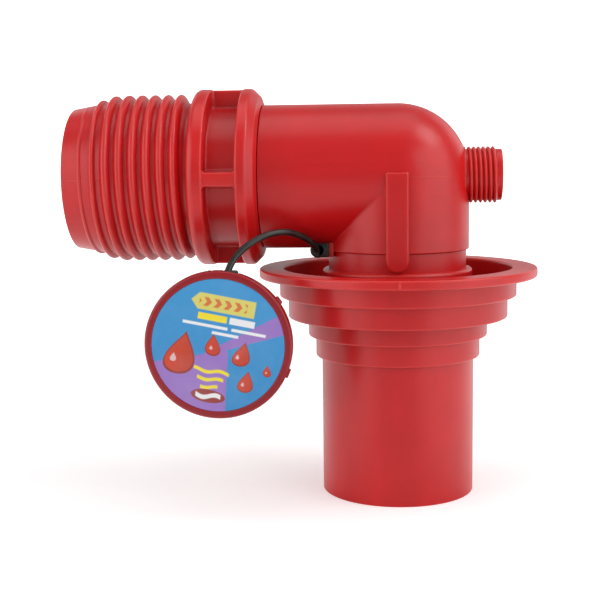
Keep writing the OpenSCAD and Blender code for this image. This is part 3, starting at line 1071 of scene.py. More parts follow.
@dataclass(frozen=True)
class Thread:
    """A right-hand thread's skin between two rings, along the hose axis or the rinse axis.

    The core is straight with a taper at each end, and the ridge rises and fades over a part of a turn.
    Lengths run away from the leg's axis; the ridge's turns count from its first end at "start".
    """

    name: str
    core: float
    near_core: float
    far_core: float
    near: float
    taper_from: float
    straight_from: float
    straight_to: float
    far: float
    crest_radius: float
    pitch: float
    turns: float
    start: float
    side: float
    foot: float
    crest: float
    first_taper: float
    last_taper: float
    rows_per_pitch: int = 26
    shares: ClassVar[tuple[str, ...]] = ("turns", "side", "foot", "crest", "first_taper", "last_taper")

    def _inputs(self, axis_height: float) -> dict[str, float]:
        """The numbers that the tree takes: lengths in metres, and shares as they are."""
        numbers = {**asdict(self), "axis_height": axis_height}
        del numbers["name"], numbers["rows_per_pitch"]
        return {label: n if label in self.shares else n * MM for label, n in numbers.items()}

    def skin(self, axis_height: float, material: bpy.types.Material) -> Shell:
        """Builds the skin.

        Args:
            axis_height: Height of the thread's axis.
            material: The finish that the tree sets.

        Returns:
            The skin, open at its two end rings.
        """
        sheet = GeometrySheet(self.name, self._inputs(axis_height))
        given = sheet.given
        rows = round(abs(self.far - self.near) / self.pitch * self.rows_per_pitch)
        sizes = {"Size X": 1.0, "Size Y": 1.0, "Vertices X": COLUMNS + 1, "Vertices Y": rows + 1}
        grid = sheet.node("GeometryNodeMeshGrid", sizes)
        split = sheet.node("ShaderNodeSeparateXYZ", {0: sheet.node("GeometryNodeInputPosition")})
        share = sheet.quantity(split, 0) + 0.5
        along = sheet.quantity(split, 1) + 0.5
        distance = given("near") + along * (given("far") - given("near"))
        radius = self._radius(given, share, distance)
        angle = share * math.tau
        across = given("side") * radius * angle.sine()
        up = given("axis_height") - given("side") * radius * angle.cosine()
        place = sheet.node("ShaderNodeCombineXYZ", {0: given("side") * distance, 1: across, 2: up})
        return sheet.run(
            sheet.node("GeometryNodeSetPosition", {"Geometry": grid, "Position": place}), material
        )

    @staticmethod
    def _radius(given: Callable[[str], Quantity], share: Quantity, distance: Quantity) -> Quantity:
        """Radius of the skin at a share of the circle and a distance."""
        run_in = given("straight_from") - given("taper_from")
        rise = ((distance - given("taper_from")) / run_in).clamped()
        fall = ((given("far") - distance) / (given("far") - given("straight_to"))).clamped()
        core = given("core") - (given("core") - given("near_core")) * (1.0 - rise)
        core = core - (given("core") - given("far_core")) * (1.0 - fall)
        phase = (distance - given("start")) / given("pitch") * given("side") - share
        turn = phase.nearest()
        offset = (phase - turn).size()
        here = turn + share
        swell = (here / given("first_taper")).clamped()
        swell = swell * ((given("turns") - here) / given("last_taper")).eased()
        foot = given("foot") * (0.3 + 0.7 * swell)
        flank = ((foot - offset) / (foot - given("crest"))).clamped()
        ridge = (flank * (math.pi / 2)).sine() * (flank * 4.0).eased()
        return core + (given("crest_radius") - core) * ridge * swell


@dataclass(frozen=True)
class RibRing:
    """Ribs that stand across the collar's recess, alike and evenly spaced about the hose axis."""

    count: int
    width: float
    floor: float
    top: float
    near: float
    far: float
    flare: float = 1.5
    edge: float = 0.9
    stations: int = 25
    foot_steps: int = 8
    edge_steps: int = 6
    end_sunk: float = 0.4
    foot_sunk: float = 0.3
    base_sunk: float = 2.0

    def _template(self) -> Shell:
        """One rib on top of the hose axis, with its foot and ends flared into what it meets."""
        length = self.far - self.near
        start = self.near - self.end_sunk
        rows = []
        for index in range(self.stations):
            along = start + (length + 2 * self.end_sunk) * index / (self.stations - 1)
            depth = length / 2 - abs(along - (self.near + self.far) / 2)
            rows.append(self._section(along, self._flare(max(depth, 0.0))))
        lids = [Shell(np.array(row), [tuple(range(len(row)))]) for row in (rows[0], rows[-1])]
        return Shell.joined([Shell.grid(np.array(rows), False), *lids])

    def _flare(self, distance: float) -> float:
        """How far a face stands out at a distance from the wall that it meets."""
        if distance >= self.flare:
            return 0.0
        return self.flare - math.sqrt(self.flare**2 - (self.flare - distance) ** 2)

    def _section(self, along: float, wider: float) -> list[Point]:
        """The rib's section at one station, from the left foot over the top to the right one."""
        half = self.width / 2 + wider
        side: list[tuple[float, float]] = []
        for step in range(self.foot_steps + 1):
            rise = self.flare * step / self.foot_steps
            side.append((half + self._flare(rise), self.floor - self.foot_sunk + rise))
        for step in range(self.edge_steps + 1):
            angle = math.pi / 2 * step / self.edge_steps
            across = half - self.edge + self.edge * math.cos(angle)
            side.append((across, self.top - self.edge + self.edge * math.sin(angle)))
        base = [(half + self.flare, self.floor - self.base_sunk)]
        loop = [*base, *side, *[(-a, h) for a, h in reversed(side)], *[(-a, h) for a, h in base]]
        return [(-along, across, height) for across, height in loop]

    def skin(self, axis_height: float, material: bpy.types.Material) -> Shell:
        """Builds all ribs.

        Args:
            axis_height: Height of the hose axis.
            material: The finish that the tree sets.

        Returns:
            The ribs.
        """
        template = bpy.data.objects.new("rib_template", self._template().mesh("rib_template"))
        bpy.context.scene.collection.objects.link(template)
        inputs = {"count": float(self.count), "axis_height": axis_height * MM}
        sheet = GeometrySheet("collar_ribs", inputs)
        points = sheet.node("GeometryNodePoints", {"Count": sheet.given("count")})
        centre = sheet.node("ShaderNodeCombineXYZ", {2: sheet.given("axis_height")})
        placed = sheet.node("GeometryNodeSetPosition", {"Geometry": points, "Position": centre})
        order = sheet.quantity(sheet.node("GeometryNodeInputIndex"))
        turn = sheet.node("ShaderNodeCombineXYZ", {0: order * math.tau / sheet.given("count")})
        rib = sheet.node("GeometryNodeObjectInfo", {"Object": template}).outputs["Geometry"]
        copies = sheet.node(
            "GeometryNodeInstanceOnPoints", {"Points": placed, "Instance": rib, "Rotation": turn}
        )
        made = sheet.run(copies, material)
        bpy.data.objects.remove(template)
        return made


# ---------------------------------------------------------------- camera and studio


@dataclass
class ProductCamera:
    """The catalogue view: almost level, from a little to the right of the front."""

    distance: float = 560.0
    pitch: float = math.radians(7.3)
    yaw: float = math.radians(-4.6)
    roll: float = math.radians(-0.75)
    target: Point = (-46.3, 0.0, 90.5)
    focal_pixels: float = 1173.0
    image_side: int = 600
    sensor: float = 36.0
    clip: tuple[float, float] = (0.01, 20.0)

    def build(self) -> None:
        """Makes the camera and gives it to the scene."""
        forward = Vector(
            (
                math.sin(self.yaw) * math.cos(self.pitch),
                math.cos(self.yaw) * math.cos(self.pitch),
                -math.sin(self.pitch),
            )
        )
        level = Vector((math.cos(self.yaw), -math.sin(self.yaw), 0.0))
        upright = level.cross(forward)
        right = level * math.cos(self.roll) + upright * math.sin(self.roll)
        up = upright * math.cos(self.roll) - level * math.sin(self.roll)
        data = bpy.data.cameras.new("product_camera")
        data.sensor_width = self.sensor
        data.lens = self.sensor * self.focal_pixels / self.image_side
        data.clip_start, data.clip_end = self.clip
        camera = bpy.data.objects.new("product_camera", data)
        turn = Matrix((right, up, -forward)).transposed().to_4x4()
        place = (Vector(self.target) - forward * self.distance) * MM
        camera.matrix_world = Matrix.Translation(place) @ turn
        bpy.context.scene.collection.objects.link(camera)
        bpy.context.scene.camera = camera
        LOG.info("product_camera: %.1f mm lens", data.lens)


@dataclass(frozen=True)
class Softbox:
    """A soft studio lamp that looks at the fitting."""

    name: str
    place: Point
    width: float
    height: float
    power: float
    aim: Point = (-0.03, 0.0, 0.1)

    def build(self) -> None:
        """Makes the lamp."""
        data = bpy.data.lights.new(self.name, "AREA")
        data.shape = "RECTANGLE"
        data.size = self.width
        data.size_y = self.height
        data.energy = self.power
        lamp = bpy.data.objects.new(self.name, data)
        lamp.location = self.place
        lamp.rotation_mode = "QUATERNION"
        lamp.rotation_quaternion = (Vector(self.aim) - Vector(self.place)).to_track_quat("-Z", "Y")
        bpy.context.scene.collection.objects.link(lamp)


@dataclass
class Studio:
    """A pale paper floor that sweeps up behind the fitting, soft lamps and a white room."""

    half_width: float = 2.2
    front: float = -1.6
    back: float = 1.5
    sweep: float = 0.6
    wall_height: float = 1.6
    room_light: float = 0.4
    mirrored_light: float = 0.18
    sweep_steps: int = 16
    lamps: tuple[Softbox, ...] = (
        Softbox("left_softbox", (-0.95, -0.5, 0.5), 1.3, 1.0, 6.5),
        Softbox("right_softbox", (0.95, -0.5, 0.5), 1.3, 1.0, 6.2),
        Softbox("top_softbox", (-0.05, 0.05, 1.25), 1.1, 0.8, 3.0),
        Softbox("corner_softbox", (0.57, -0.07, 0.9), 0.4, 0.4, 2.0),
    )

    def build(self) -> None:
        """Makes the floor, the lamps and the world."""
        self._paper()
        for lamp in self.lamps:
            lamp.build()
        self._world()
        bpy.context.scene.view_settings.view_transform = "Standard"
        LOG.info("studio: %d lamps", len(self.lamps))

    def _paper(self) -> None:
        """The floor and the backdrop as one swept sheet."""
        bend = self.back - self.sweep
        line = [(self.front, 0.0), (bend, 0.0)]
        for step in range(1, self.sweep_steps + 1):
            angle = math.pi / 2 * step / self.sweep_steps
            line.append((bend + self.sweep * math.sin(angle), self.sweep * (1 - math.cos(angle))))
        line.append((self.back, self.wall_height))
        points = [(side * self.half_width, y, z) for y, z in line for side in (-1, 1)]
        faces = [(2 * i, 2 * i + 1, 2 * i + 3, 2 * i + 2) for i in range(len(line) - 1)]
        mesh = bpy.data.meshes.new("studio_paper")
        mesh.from_pydata(points, [], faces)
        for face in mesh.polygons:
            face.use_smooth = True
        mesh.materials.append(Backing().material())
        paper = bpy.data.objects.new("studio_paper", mesh)
        bpy.context.scene.collection.objects.link(paper)

    def _world(self) -> None:
        """A white room for the camera and for reflections, and a softer one for light."""
        world = bpy.data.worlds.new("studio_room")
        world.use_nodes = True
        bpy.context.scene.world = world
        sheet = NodeSheet(world.node_tree)
        seen, glossy = sheet.rays()
        dimmed = self.room_light - glossy * (self.room_light - self.mirrored_light)
        strength = dimmed + seen * (1.0 - dimmed)
        light = sheet.node("ShaderNodeBackground", {"Color": (1.0,) * 4, "Strength": strength})
        sheet.node("ShaderNodeOutputWorld", {"Surface": light})


# ---------------------------------------------------------------- the fitting


@dataclass(frozen=True)
class Shared:
    """Sizes that several sub-assemblies take up."""

    axis_height: float = 149.1
    pipe_radius: float = 33.5
    flange_top: float = 106.6
    socket_radius: float = 32.28
    spigot_radius: float = 32.2
    seam_height: float = 115.0
    spigot_end: float = 80.1
    sleeve_radius: float = 29.92
    swivel_bore: float = 30.0

    @property
    def corner(self) -> Point:
        """Where the axes of leg, pipe and rinse port meet."""
        return (0.0, 0.0, self.axis_height)


@dataclass(frozen=True)
class Hinge:
    """The toggle pin in the cap's rim: one place and one set of sizes for tether and cap."""

    place: Point = (-77.4, -55.2, 108.6)
    width: float = 4.6
    gap: float = 0.3
    pin_radius: float = 1.1
    pin_play: float = 0.08
    bead_radius: float = 2.0
    bead_length: float = 2.0
    eye_length: float = 6.4


@dataclass
class Tether:
    """The short black tether from the elbow's lug to the cap's toggle pin."""

    bench: Workbench
    diameter: float = 3.0
    route: tuple[Point, ...] = (
        (-0.0365, -0.0185, 0.116),
        (-0.039, -0.023, 0.12),
        (-0.044, -0.0285, 0.1235),
        (-0.05, -0.035, 0.1255),
        (-0.0575, -0.0415, 0.1245),
        (-0.0645, -0.0465, 0.121),
        (-0.0695, -0.0505, 0.1165),
        (-0.072, -0.053, 0.1125),
        (-0.073, -0.0546, 0.1098),
    )
    parts: int = 4
    anchor: Point = (-36.3, -16.6, 115.8)
    anchor_radius: float = 3.6
    anchor_head: float = 2.0
    clip_length: float = 5.2
    clip_inset: float = 0.3
    clip_sunk: float = 0.2
    stud_radius: float = 1.6
    stud_length: float = 3.0
    hinge: Hinge = Hinge()

    def centreline(self) -> np.ndarray:
        """The route's points joined by one smooth curve that passes through them."""
        route = np.array(self.route)
        padded = np.vstack([2 * route[0] - route[1], route, 2 * route[-1] - route[-2]])
        line = []
        for index in range(len(route) - 1):
            p0, p1, p2, p3 = padded[index : index + 4]
            for step in range(self.parts):
                t = step / self.parts
                slope = (p2 - p0) * t
                bow = (2 * p0 - 5 * p1 + 4 * p2 - p3) * t**2
                twist = (3 * p1 - p0 - 3 * p2 + p3) * t**3
                line.append(0.5 * (2 * p1 + slope + bow + twist))
        line.append(route[-1])
        return np.array(line)

    def build(self) -> None:
        """Makes the cord, its stud and its toggle."""
        finish = TetherPlastic().material()
        anchor = self.bench.piece(
            "tether_stud", self._stud(), "elbow", finish, "tether_black", ["tether_anchor"]
        )
        toggle = self.bench.piece(
            "tether_pin", self._toggle(), "elbow", finish, "tether_black", ["tether_toggle"]
        )
        line = self.centreline()
        data = bpy.data.curves.new("tether", "CURVE")
        data.dimensions = "3D"
        data.bevel_depth = self.diameter / 2 * MM
        data.bevel_resolution = 5
        data.use_fill_caps = True
        spline = data.splines.new("POLY")
        spline.points.add(len(line) - 1)
        for point, place in zip(spline.points, line):
            point.co = (*place, 1.0)
        spline.use_smooth = True
        data.materials.append(finish)
        cord = bpy.data.objects.new("tether", data)
        bpy.context.scene.collection.objects.link(cord)
        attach(cord, "elbow")
        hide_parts("tether_cord")
        self.bench.made.append("tether")

    def _stud(self) -> Shell:
        """The stud in the elbow's lug, with a domed head and a clip that reaches to the leg."""
        corners = [
            (0, -self.stud_length, 0),
            (self.stud_radius, -self.stud_length, 0.5),
            (self.stud_radius, 0, 0.2),
            (self.anchor_radius, 0, 0.5),
            (self.anchor_radius, self.anchor_head, 1.3),
            (0, self.anchor_head, 0),
        ]
        head = Shell.lathed(corners, Axis.FRONT, self.anchor, columns=PIN_COLUMNS)
        x, y, z = self.anchor
        half = self.anchor_radius - self.clip_inset
        low = (x, y - self.anchor_head, z - half)
        clip = Shell.block(low, (x + self.clip_length, y + self.clip_sunk, z + half), 0.6)
        return Shell.joined([head, clip])

    def _toggle(self) -> Shell:
        """The pin through the cap's rim, with a bead at each end."""
        h = self.hinge
        inner = h.width / 2 + h.gap
        corners = [
            (0, -inner - h.bead_length, 0),
            (h.bead_radius, -inner - h.bead_length, 0.8),
            (h.bead_radius, -inner, 0.4),
            (h.pin_radius, -inner, 0.15),
            (h.pin_radius, inner, 0.15),
            (h.bead_radius, inner, 0.4),
            (h.bead_radius, inner + h.eye_length, 0.9),
            (0, inner + h.eye_length, 0),
        ]
        return Shell.lathed(corners, Axis.RINSE, h.place, columns=PIN_COLUMNS)


@dataclass
class StepAdapter:
    """The stepped sewer adapter: outlet tube, four steps, flange and inner socket, one moulding."""

    bench: Workbench
    shared: Shared
    tube_radius: float = 35.75
    tube_bore: float = 33.15
    step_radii: tuple[float, ...] = (38.65, 42.1, 51.5, 55.55)
    step_heights: tuple[float, ...] = (64.7, 74.5, 83.3, 93.3)
    step_wall: float = 2.0
    flange_radius: float = 65.05
    flange_under: float = 102.4
    socket_outer: float = 35.08
    lip_cover: float = 1.2
    rim_height: float = 106.1
    rim_round: float = 2.2
    lip_ring_height: float = 5.0
    lip_ring_thickness: float = 1.6
    ledge_height: float = 79.9
    ledge_thickness: float = 3.0
    ledge_reach: float = 2.0
    gate_x: float = 0.9
    gate_half: float = 0.55
    gate_proud: float = 0.22
    gate_sunk: float = 1.2
    gate_margins: tuple[float, float] = (0.9, 0.4)

    def _corners(self) -> list[ProfilePoint]:
        """The moulding's section, round from the tube's inner lower edge."""
        outside: list[ProfilePoint] = [(self.tube_bore, 0, 0.7), (self.tube_radius, 0, 0.35)]
        below = self.tube_radius
        for radius, height in zip(self.step_radii, self.step_heights):
            outside += [(below, height, 0.6), (radius, height, 0.7)]
            below = radius
        flange: list[ProfilePoint] = [
            (below, self.flange_under, 0.8),
            (self.flange_radius, self.flange_under, 0.9),
            (self.flange_radius, self.shared.flange_top, 0.9),
        ]
        wall = self.step_wall
        heights = self.step_heights
        inside: list[ProfilePoint] = [(self.step_radii[3] - wall, self.shared.flange_top, 1.1)]
        for index in (3, 2, 1):
            inner = self.step_radii[index] - wall
            inside.append((inner, heights[index] + wall, 0.8))
            if index > 1:
                inside.append((self.step_radii[index - 1] - wall, heights[index] + wall, 0.8))
        mouth = self.shared.socket_radius
        seal = mouth + self.lip_ring_thickness
        groove = self.rim_height - self.lip_cover
        groove_low = groove - self.lip_ring_height
        ledge_low = self.ledge_height - self.ledge_thickness
        socket: list[ProfilePoint] = [
            (self.socket_outer, heights[1] + wall, 0.8),
            (self.socket_outer, self.rim_height, self.rim_round),
            (mouth, self.rim_height, 0.35),
            (mouth, groove, 0.1),
            (seal, groove, 0.1),
            (seal, groove_low, 0.1),
            (mouth, groove_low, 0.1),
            (mouth, self.ledge_height, 0.3),
            (mouth - self.ledge_reach, self.ledge_height, 0.4),
            (mouth - self.ledge_reach, ledge_low, 0.4),
            (self.tube_bore, ledge_low, 0.5),
        ]
        return [*outside, *flange, *inside, *socket]

    def _gate_scar(self) -> Shell:
        """What is left of the mould's gate on the flange's front edge."""
        x, y = self.gate_x, -self.flange_radius
        below, above = self.gate_margins
        low = (x - self.gate_half, y - self.gate_proud, self.flange_under + below)
        high = (x + self.gate_half, y + self.gate_sunk, self.shared.flange_top - above)
        return Shell.block(low, high, 0.2)

    def build(self, red: bpy.types.Material, rubber: bpy.types.Material) -> None:
        """Makes the moulding and dresses its lip ring."""
        body = Shell.lathed(self._corners(), Axis.UP, (0, 0, 0), True, FINE_COLUMNS)
        self.bench.piece("stepped_adapter", body, "adapter", red, "adapter_red", ["sewer_adapter"])
        self.bench.piece("flange_gate_scar", self._gate_scar(), "adapter", red, "adapter_red")
        self.bench.dress("socket_lip_ring", rubber)


@dataclass
class Elbow:
    """The 90 degree elbow: spigot, leg with two keys, ball corner, pipe and sleeve."""

    bench: Workbench
    shared: Shared
    wall: float = 2.4
    pipe_end: float = 62.2
    sleeve_end: float = 98.8
    sleeve_bore: float = 27.02
    crease: float = 1.1
    crease_fade: float = 0.5
    key_width: float = 9.8
    key_face: float = 35.5
    key_low: float = 107.0
    key_high: float = 151.1
    groove_depth: float = 1.85
    groove_width: float = 2.43
    spigot_groove: float = 87.12
    sleeve_grooves: tuple[float, ...] = (70.45, 82.45)
    retainer_groove: tuple[float, float] = (95.0, 96.5)
    retainer_depth: float = 1.3
    lug_place: Point = (-36.3, -16.6, 115.8)
    lug_radius: float = 3.3
    lug_thickness: float = 3.2
    lug_sunk: float = 4.5
    rinse_hole: float = 13.15
    drill: tuple[float, float] = (8.0, 60.0)
    mould_line: tuple[float, float] = (-80.0, -41.0)
    mould_line_points: int = 25
    lead: float = 1.2
    bend_rows: tuple[int, int, int] = (30, 34, 18)
    key_corner: float = 0.9
    key_arc_points: int = 41
    key_corner_points: int = 7
    key_roots: tuple[tuple[float, float], ...] = ((0.5, -0.5), (0.45, 0.0), (0.25, 0.08), (0.1, 0.3))
    key_tops: tuple[tuple[float, float], ...] = (
        (0.04, 0.9),
        (0.0, 0.55),
        (-0.13, 0.22),
        (-0.36, 0.05),
        (-0.7, 0.0),
        (-2.2, 0.0),
    )

    def _bend(self, radius: float, pipe_from: float, leg_to: float, crease: float) -> np.ndarray:
        """Rows of a bent skin from the pipe's end over the corner to the leg's end.

        Args:
            radius: Radius of pipe, ball and leg.
            pipe_from: Distance of the pipe's end from the leg's axis.
            leg_to: Height of the leg's end.
            crease: Rounding where pipe and leg meet on the inside of the bend.

        Returns:
            Array of rows, columns and coordinates.
        """
        angles = np.arange(COLUMNS) * math.tau / COLUMNS
        out, side = np.cos(angles), radius * np.sin(angles)
        fade = np.clip(np.abs(out) / self.crease_fade, 0, 1)
        soft = crease * fade * fade * (3 - 2 * fade)
        centre = np.where(out < 0, radius * out - soft, 0.0)
        bend = np.where(out < 0, soft, radius * out)
        axis = self.shared.axis_height
        pipe_rows, corner_rows, leg_rows = self.bend_rows
        rows = []
        for share in np.linspace(0, 1, pipe_rows, endpoint=False):
            x = -pipe_from + share * (centre + pipe_from)
            rows.append(np.stack([x, side, axis + radius * out], axis=1))
        for angle in np.linspace(math.pi / 2, 0, corner_rows):
            x = centre + bend * math.cos(angle)
            rows.append(np.stack([x, side, axis + centre + bend * math.sin(angle)], axis=1))
        for share in np.linspace(0, 1, leg_rows)[1:]:
            z = axis + centre + share * (leg_to - axis - centre)
            rows.append(np.stack([radius * out, side, z], axis=1))
        return np.array(rows)

    def _groove(self, radius: float, middle: float) -> list[ProfilePoint]:
        """An O-ring groove's corners, from its far side to its near side."""
        half = self.groove_width / 2
        floor = radius - self.groove_depth
        return [
            (radius, middle + half, 0.15),
            (floor, middle + half, 0.15),
            (floor, middle - half, 0.15),
            (radius, middle - half, 0.15),
        ]

    def _body(self) -> Shell:
        """The elbow's closed wall, outside and inside in one skin."""
        s = self.shared
        bore = s.pipe_radius - self.wall
        outlet = s.spigot_radius - self.wall
        leg_end = s.seam_height + self.lead
        pipe_end = self.pipe_end - self.lead
        bore_end = self.pipe_end - self.wall
        lower = rounded(
            [
                (s.pipe_radius, leg_end, 0),
                (s.pipe_radius, s.seam_height, 0.45),
                (s.spigot_radius, s.seam_height, 0.35),
                *self._groove(s.spigot_radius, self.spigot_groove),
                (s.spigot_radius, s.spigot_end, 0.8),
                (outlet, s.spigot_end, 0.6),
                (outlet, s.seam_height, 0.5),
                (bore, s.seam_height, 0.5),
                (bore, leg_end, 0),
            ],
            False,
        )
        sleeve = s.sleeve_radius
        near, far = self.retainer_groove
        floor = sleeve - self.retainer_depth
        grooves = [(sleeve, far, 0.1), (floor, far, 0.1), (floor, near, 0.1), (sleeve, near, 0.1)]
        for middle in reversed(self.sleeve_grooves):
            grooves += self._groove(sleeve, middle)
        end = rounded(
            [
                (bore, bore_end - self.lead, 0),
                (bore, bore_end, 0.6),
                (self.sleeve_bore, bore_end, 0.6),
                (self.sleeve_bore, self.sleeve_end, 0.5),
                (sleeve, self.sleeve_end, 0.6),
                *grooves,
                (sleeve, self.pipe_end, 0.4),
                (s.pipe_radius, self.pipe_end, 0.5),
                (s.pipe_radius, pipe_end, 0),
            ],
            False,
        )
        outer = self._bend(s.pipe_radius, pipe_end, leg_end, self.crease)
        inner = self._bend(bore, bore_end - self.lead, leg_end, self.crease)
        leg = Shell.rings(lower, Axis.UP, (0, 0, 0))
        pipe = Shell.rings(end, Axis.HOSE, s.corner)
        return Shell.grid(np.concatenate([outer, leg[1:], inner[::-1][1:], pipe[1:-1]]), True)

    def _key_outline(self, grow: float) -> list[tuple[float, float]]:
        """The key's outline, round at its lower end, grown by a margin, as X and Z."""
        half = self.key_width / 2 + grow
        centre = self.key_low + self.key_width / 2
        corner = self.key_corner + max(grow, 0.0)
        arc = np.linspace(-math.pi, 0, self.key_arc_points)
        points = [(half * math.cos(a), centre + half * math.sin(a)) for a in arc]
        top = self.key_high + grow
        for middle, start in ((half - corner, 0.0), (-half + corner, math.pi / 2)):
            for a in np.linspace(start, start + math.pi / 2, self.key_corner_points):
                points.append((middle + corner * math.cos(a), top - corner + corner * math.sin(a)))
        return points

    def _key(self, side: int) -> Shell:
        """A raised key on the front (-1) or back (1) of the leg, flared where it meets the wall."""
        rings = []
        for grow, lift in self.key_roots:
            rings.append([(x, self._wall_y(x, z) + lift, z) for x, z in self._key_outline(grow)])
        for grow, drop in self.key_tops:
            rings.append([(x, self.key_face - drop, z) for x, z in self._key_outline(grow)])
        rows = np.array(rings)
        ends = [Shell(row, [tuple(range(len(row)))]) for row in (rows[-1], rows[0])]
        whole = Shell.joined([Shell.grid(rows, False), *ends])
        whole.points[:, 1] *= side
        return whole

    def _wall_y(self, x: float, z: float) -> float:
        """How far the wall of spigot, leg, ball or pipe lies from the middle at a point of the key."""
        radius = self.shared.pipe_radius if z > self.shared.seam_height else self.shared.spigot_radius
        above = z - self.shared.axis_height
        aside = max(x, above) if x < 0 else math.hypot(x, max(above, 0.0))
        return math.sqrt(radius**2 - aside**2)

    def _tether_lug(self) -> Shell:
        """The rounded plate at the inside corner that holds the tether's stud."""
        x, y, z = self.lug_place
        plate = Shell.block(
            (x, y, z - self.lug_radius),
            (self.lug_sunk - self.shared.pipe_radius, y + self.lug_thickness, z + self.lug_radius),
            0.5,
        )
        corners = [
            (0, -self.lug_thickness, 0),
            (self.lug_radius, -self.lug_thickness, 0.5),
            (self.lug_radius, 0, 0.5),
            (0, 0, 0),
        ]
        end = Shell.lathed(corners, Axis.FRONT, self.lug_place, columns=PIN_COLUMNS)
        return Shell.joined([plate, end])

    def _mould_line(self) -> Shell:
        """The parting line round the front of the ball, from the key to the rinse port."""
        first, last = self.mould_line
        angles = np.radians(np.linspace(first, last, self.mould_line_points))
        out = np.stack([np.cos(angles), np.sin(angles), np.zeros_like(angles)], axis=1)
        return Shell.bead(out * self.shared.pipe_radius + np.array(self.shared.corner), out)

    def build(self, red: bpy.types.Material, rubber: bpy.types.Material) -> None:
        """Makes the elbow, its keys, its lug and its mould line, and dresses its seals."""
        near, far = self.drill
        plug = [(0, near), (self.rinse_hole, near), (self.rinse_hole, far), (0, far)]
        drill = Shell.turned(plug, Axis.RINSE, self.shared.corner, columns=DRILL_COLUMNS)
        self.bench.piece("elbow_body", cut(self._body(), drill), "elbow", red, "elbow_red", ["elbow"])
        moulded = {
            "front_key": self._key(-1),
            "back_key": self._key(1),
            "tether_lug": self._tether_lug(),
            "elbow_mould_line": self._mould_line(),
        }
        for label, shape in moulded.items():
            self.bench.piece(label, shape, "elbow", red, "elbow_red")
        self.bench.dress("spigot_o_ring", rubber)
        self.bench.dress("sleeve_o_rings", rubber)


@dataclass
class RinsePort:
    """The garden hose nipple in the elbow's ball corner."""

    bench: Workbench
    shared: Shared
    base_radius: float = 13.2
    base_end: float = 31.39
    crest_radius: float = 13.1
    thread_depth: float = 1.2
    pitch: float = 2.209
    turns: float = 6.4
    end: float = 48.3
    bore: float = 8.8
    inner_start: float = 28.2
    near_gap: float = 0.3
    straight_gap: float = 0.6
    fade_gap: float = 1.4
    far_gap: float = 0.9

    def build(self, red: bpy.types.Material) -> None:
        """Makes the nipple with its thread."""
        root = self.crest_radius - self.thread_depth
        thread = Thread(
            name="rinse_thread",
            core=root,
            near_core=root,
            far_core=root,
            near=self.base_end + self.near_gap,
            taper_from=self.base_end + self.near_gap,
            straight_from=self.base_end + self.straight_gap,
            straight_to=self.end - self.fade_gap,
            far=self.end - self.far_gap,
            crest_radius=self.crest_radius,
            pitch=self.pitch,
            turns=self.turns,
            start=self.base_end + self.pitch * 0.3,
            side=1.0,
            foot=0.46,
            crest=0.05,
            first_taper=0.4,
            last_taper=0.4,
            rows_per_pitch=22,
        )
        corners = [
            (root, thread.far, 0),
            (root, self.end, 0.7),
            (self.bore, self.end, 0.5),
            (self.bore, self.inner_start, 0.6),
            (self.base_radius, self.inner_start, 0.2),
            (self.base_radius, self.base_end, 0.3),
            (root, self.base_end, 0.3),
            (root, thread.near, 0),
        ]
        body = Shell.lathed(corners, Axis.RINSE, self.shared.corner)
        whole = Shell.joined([body, thread.skin(self.shared.axis_height, red)])
        self.bench.piece("rinse_port", whole, "elbow", red, "elbow_red", ["rinse_nipple"])


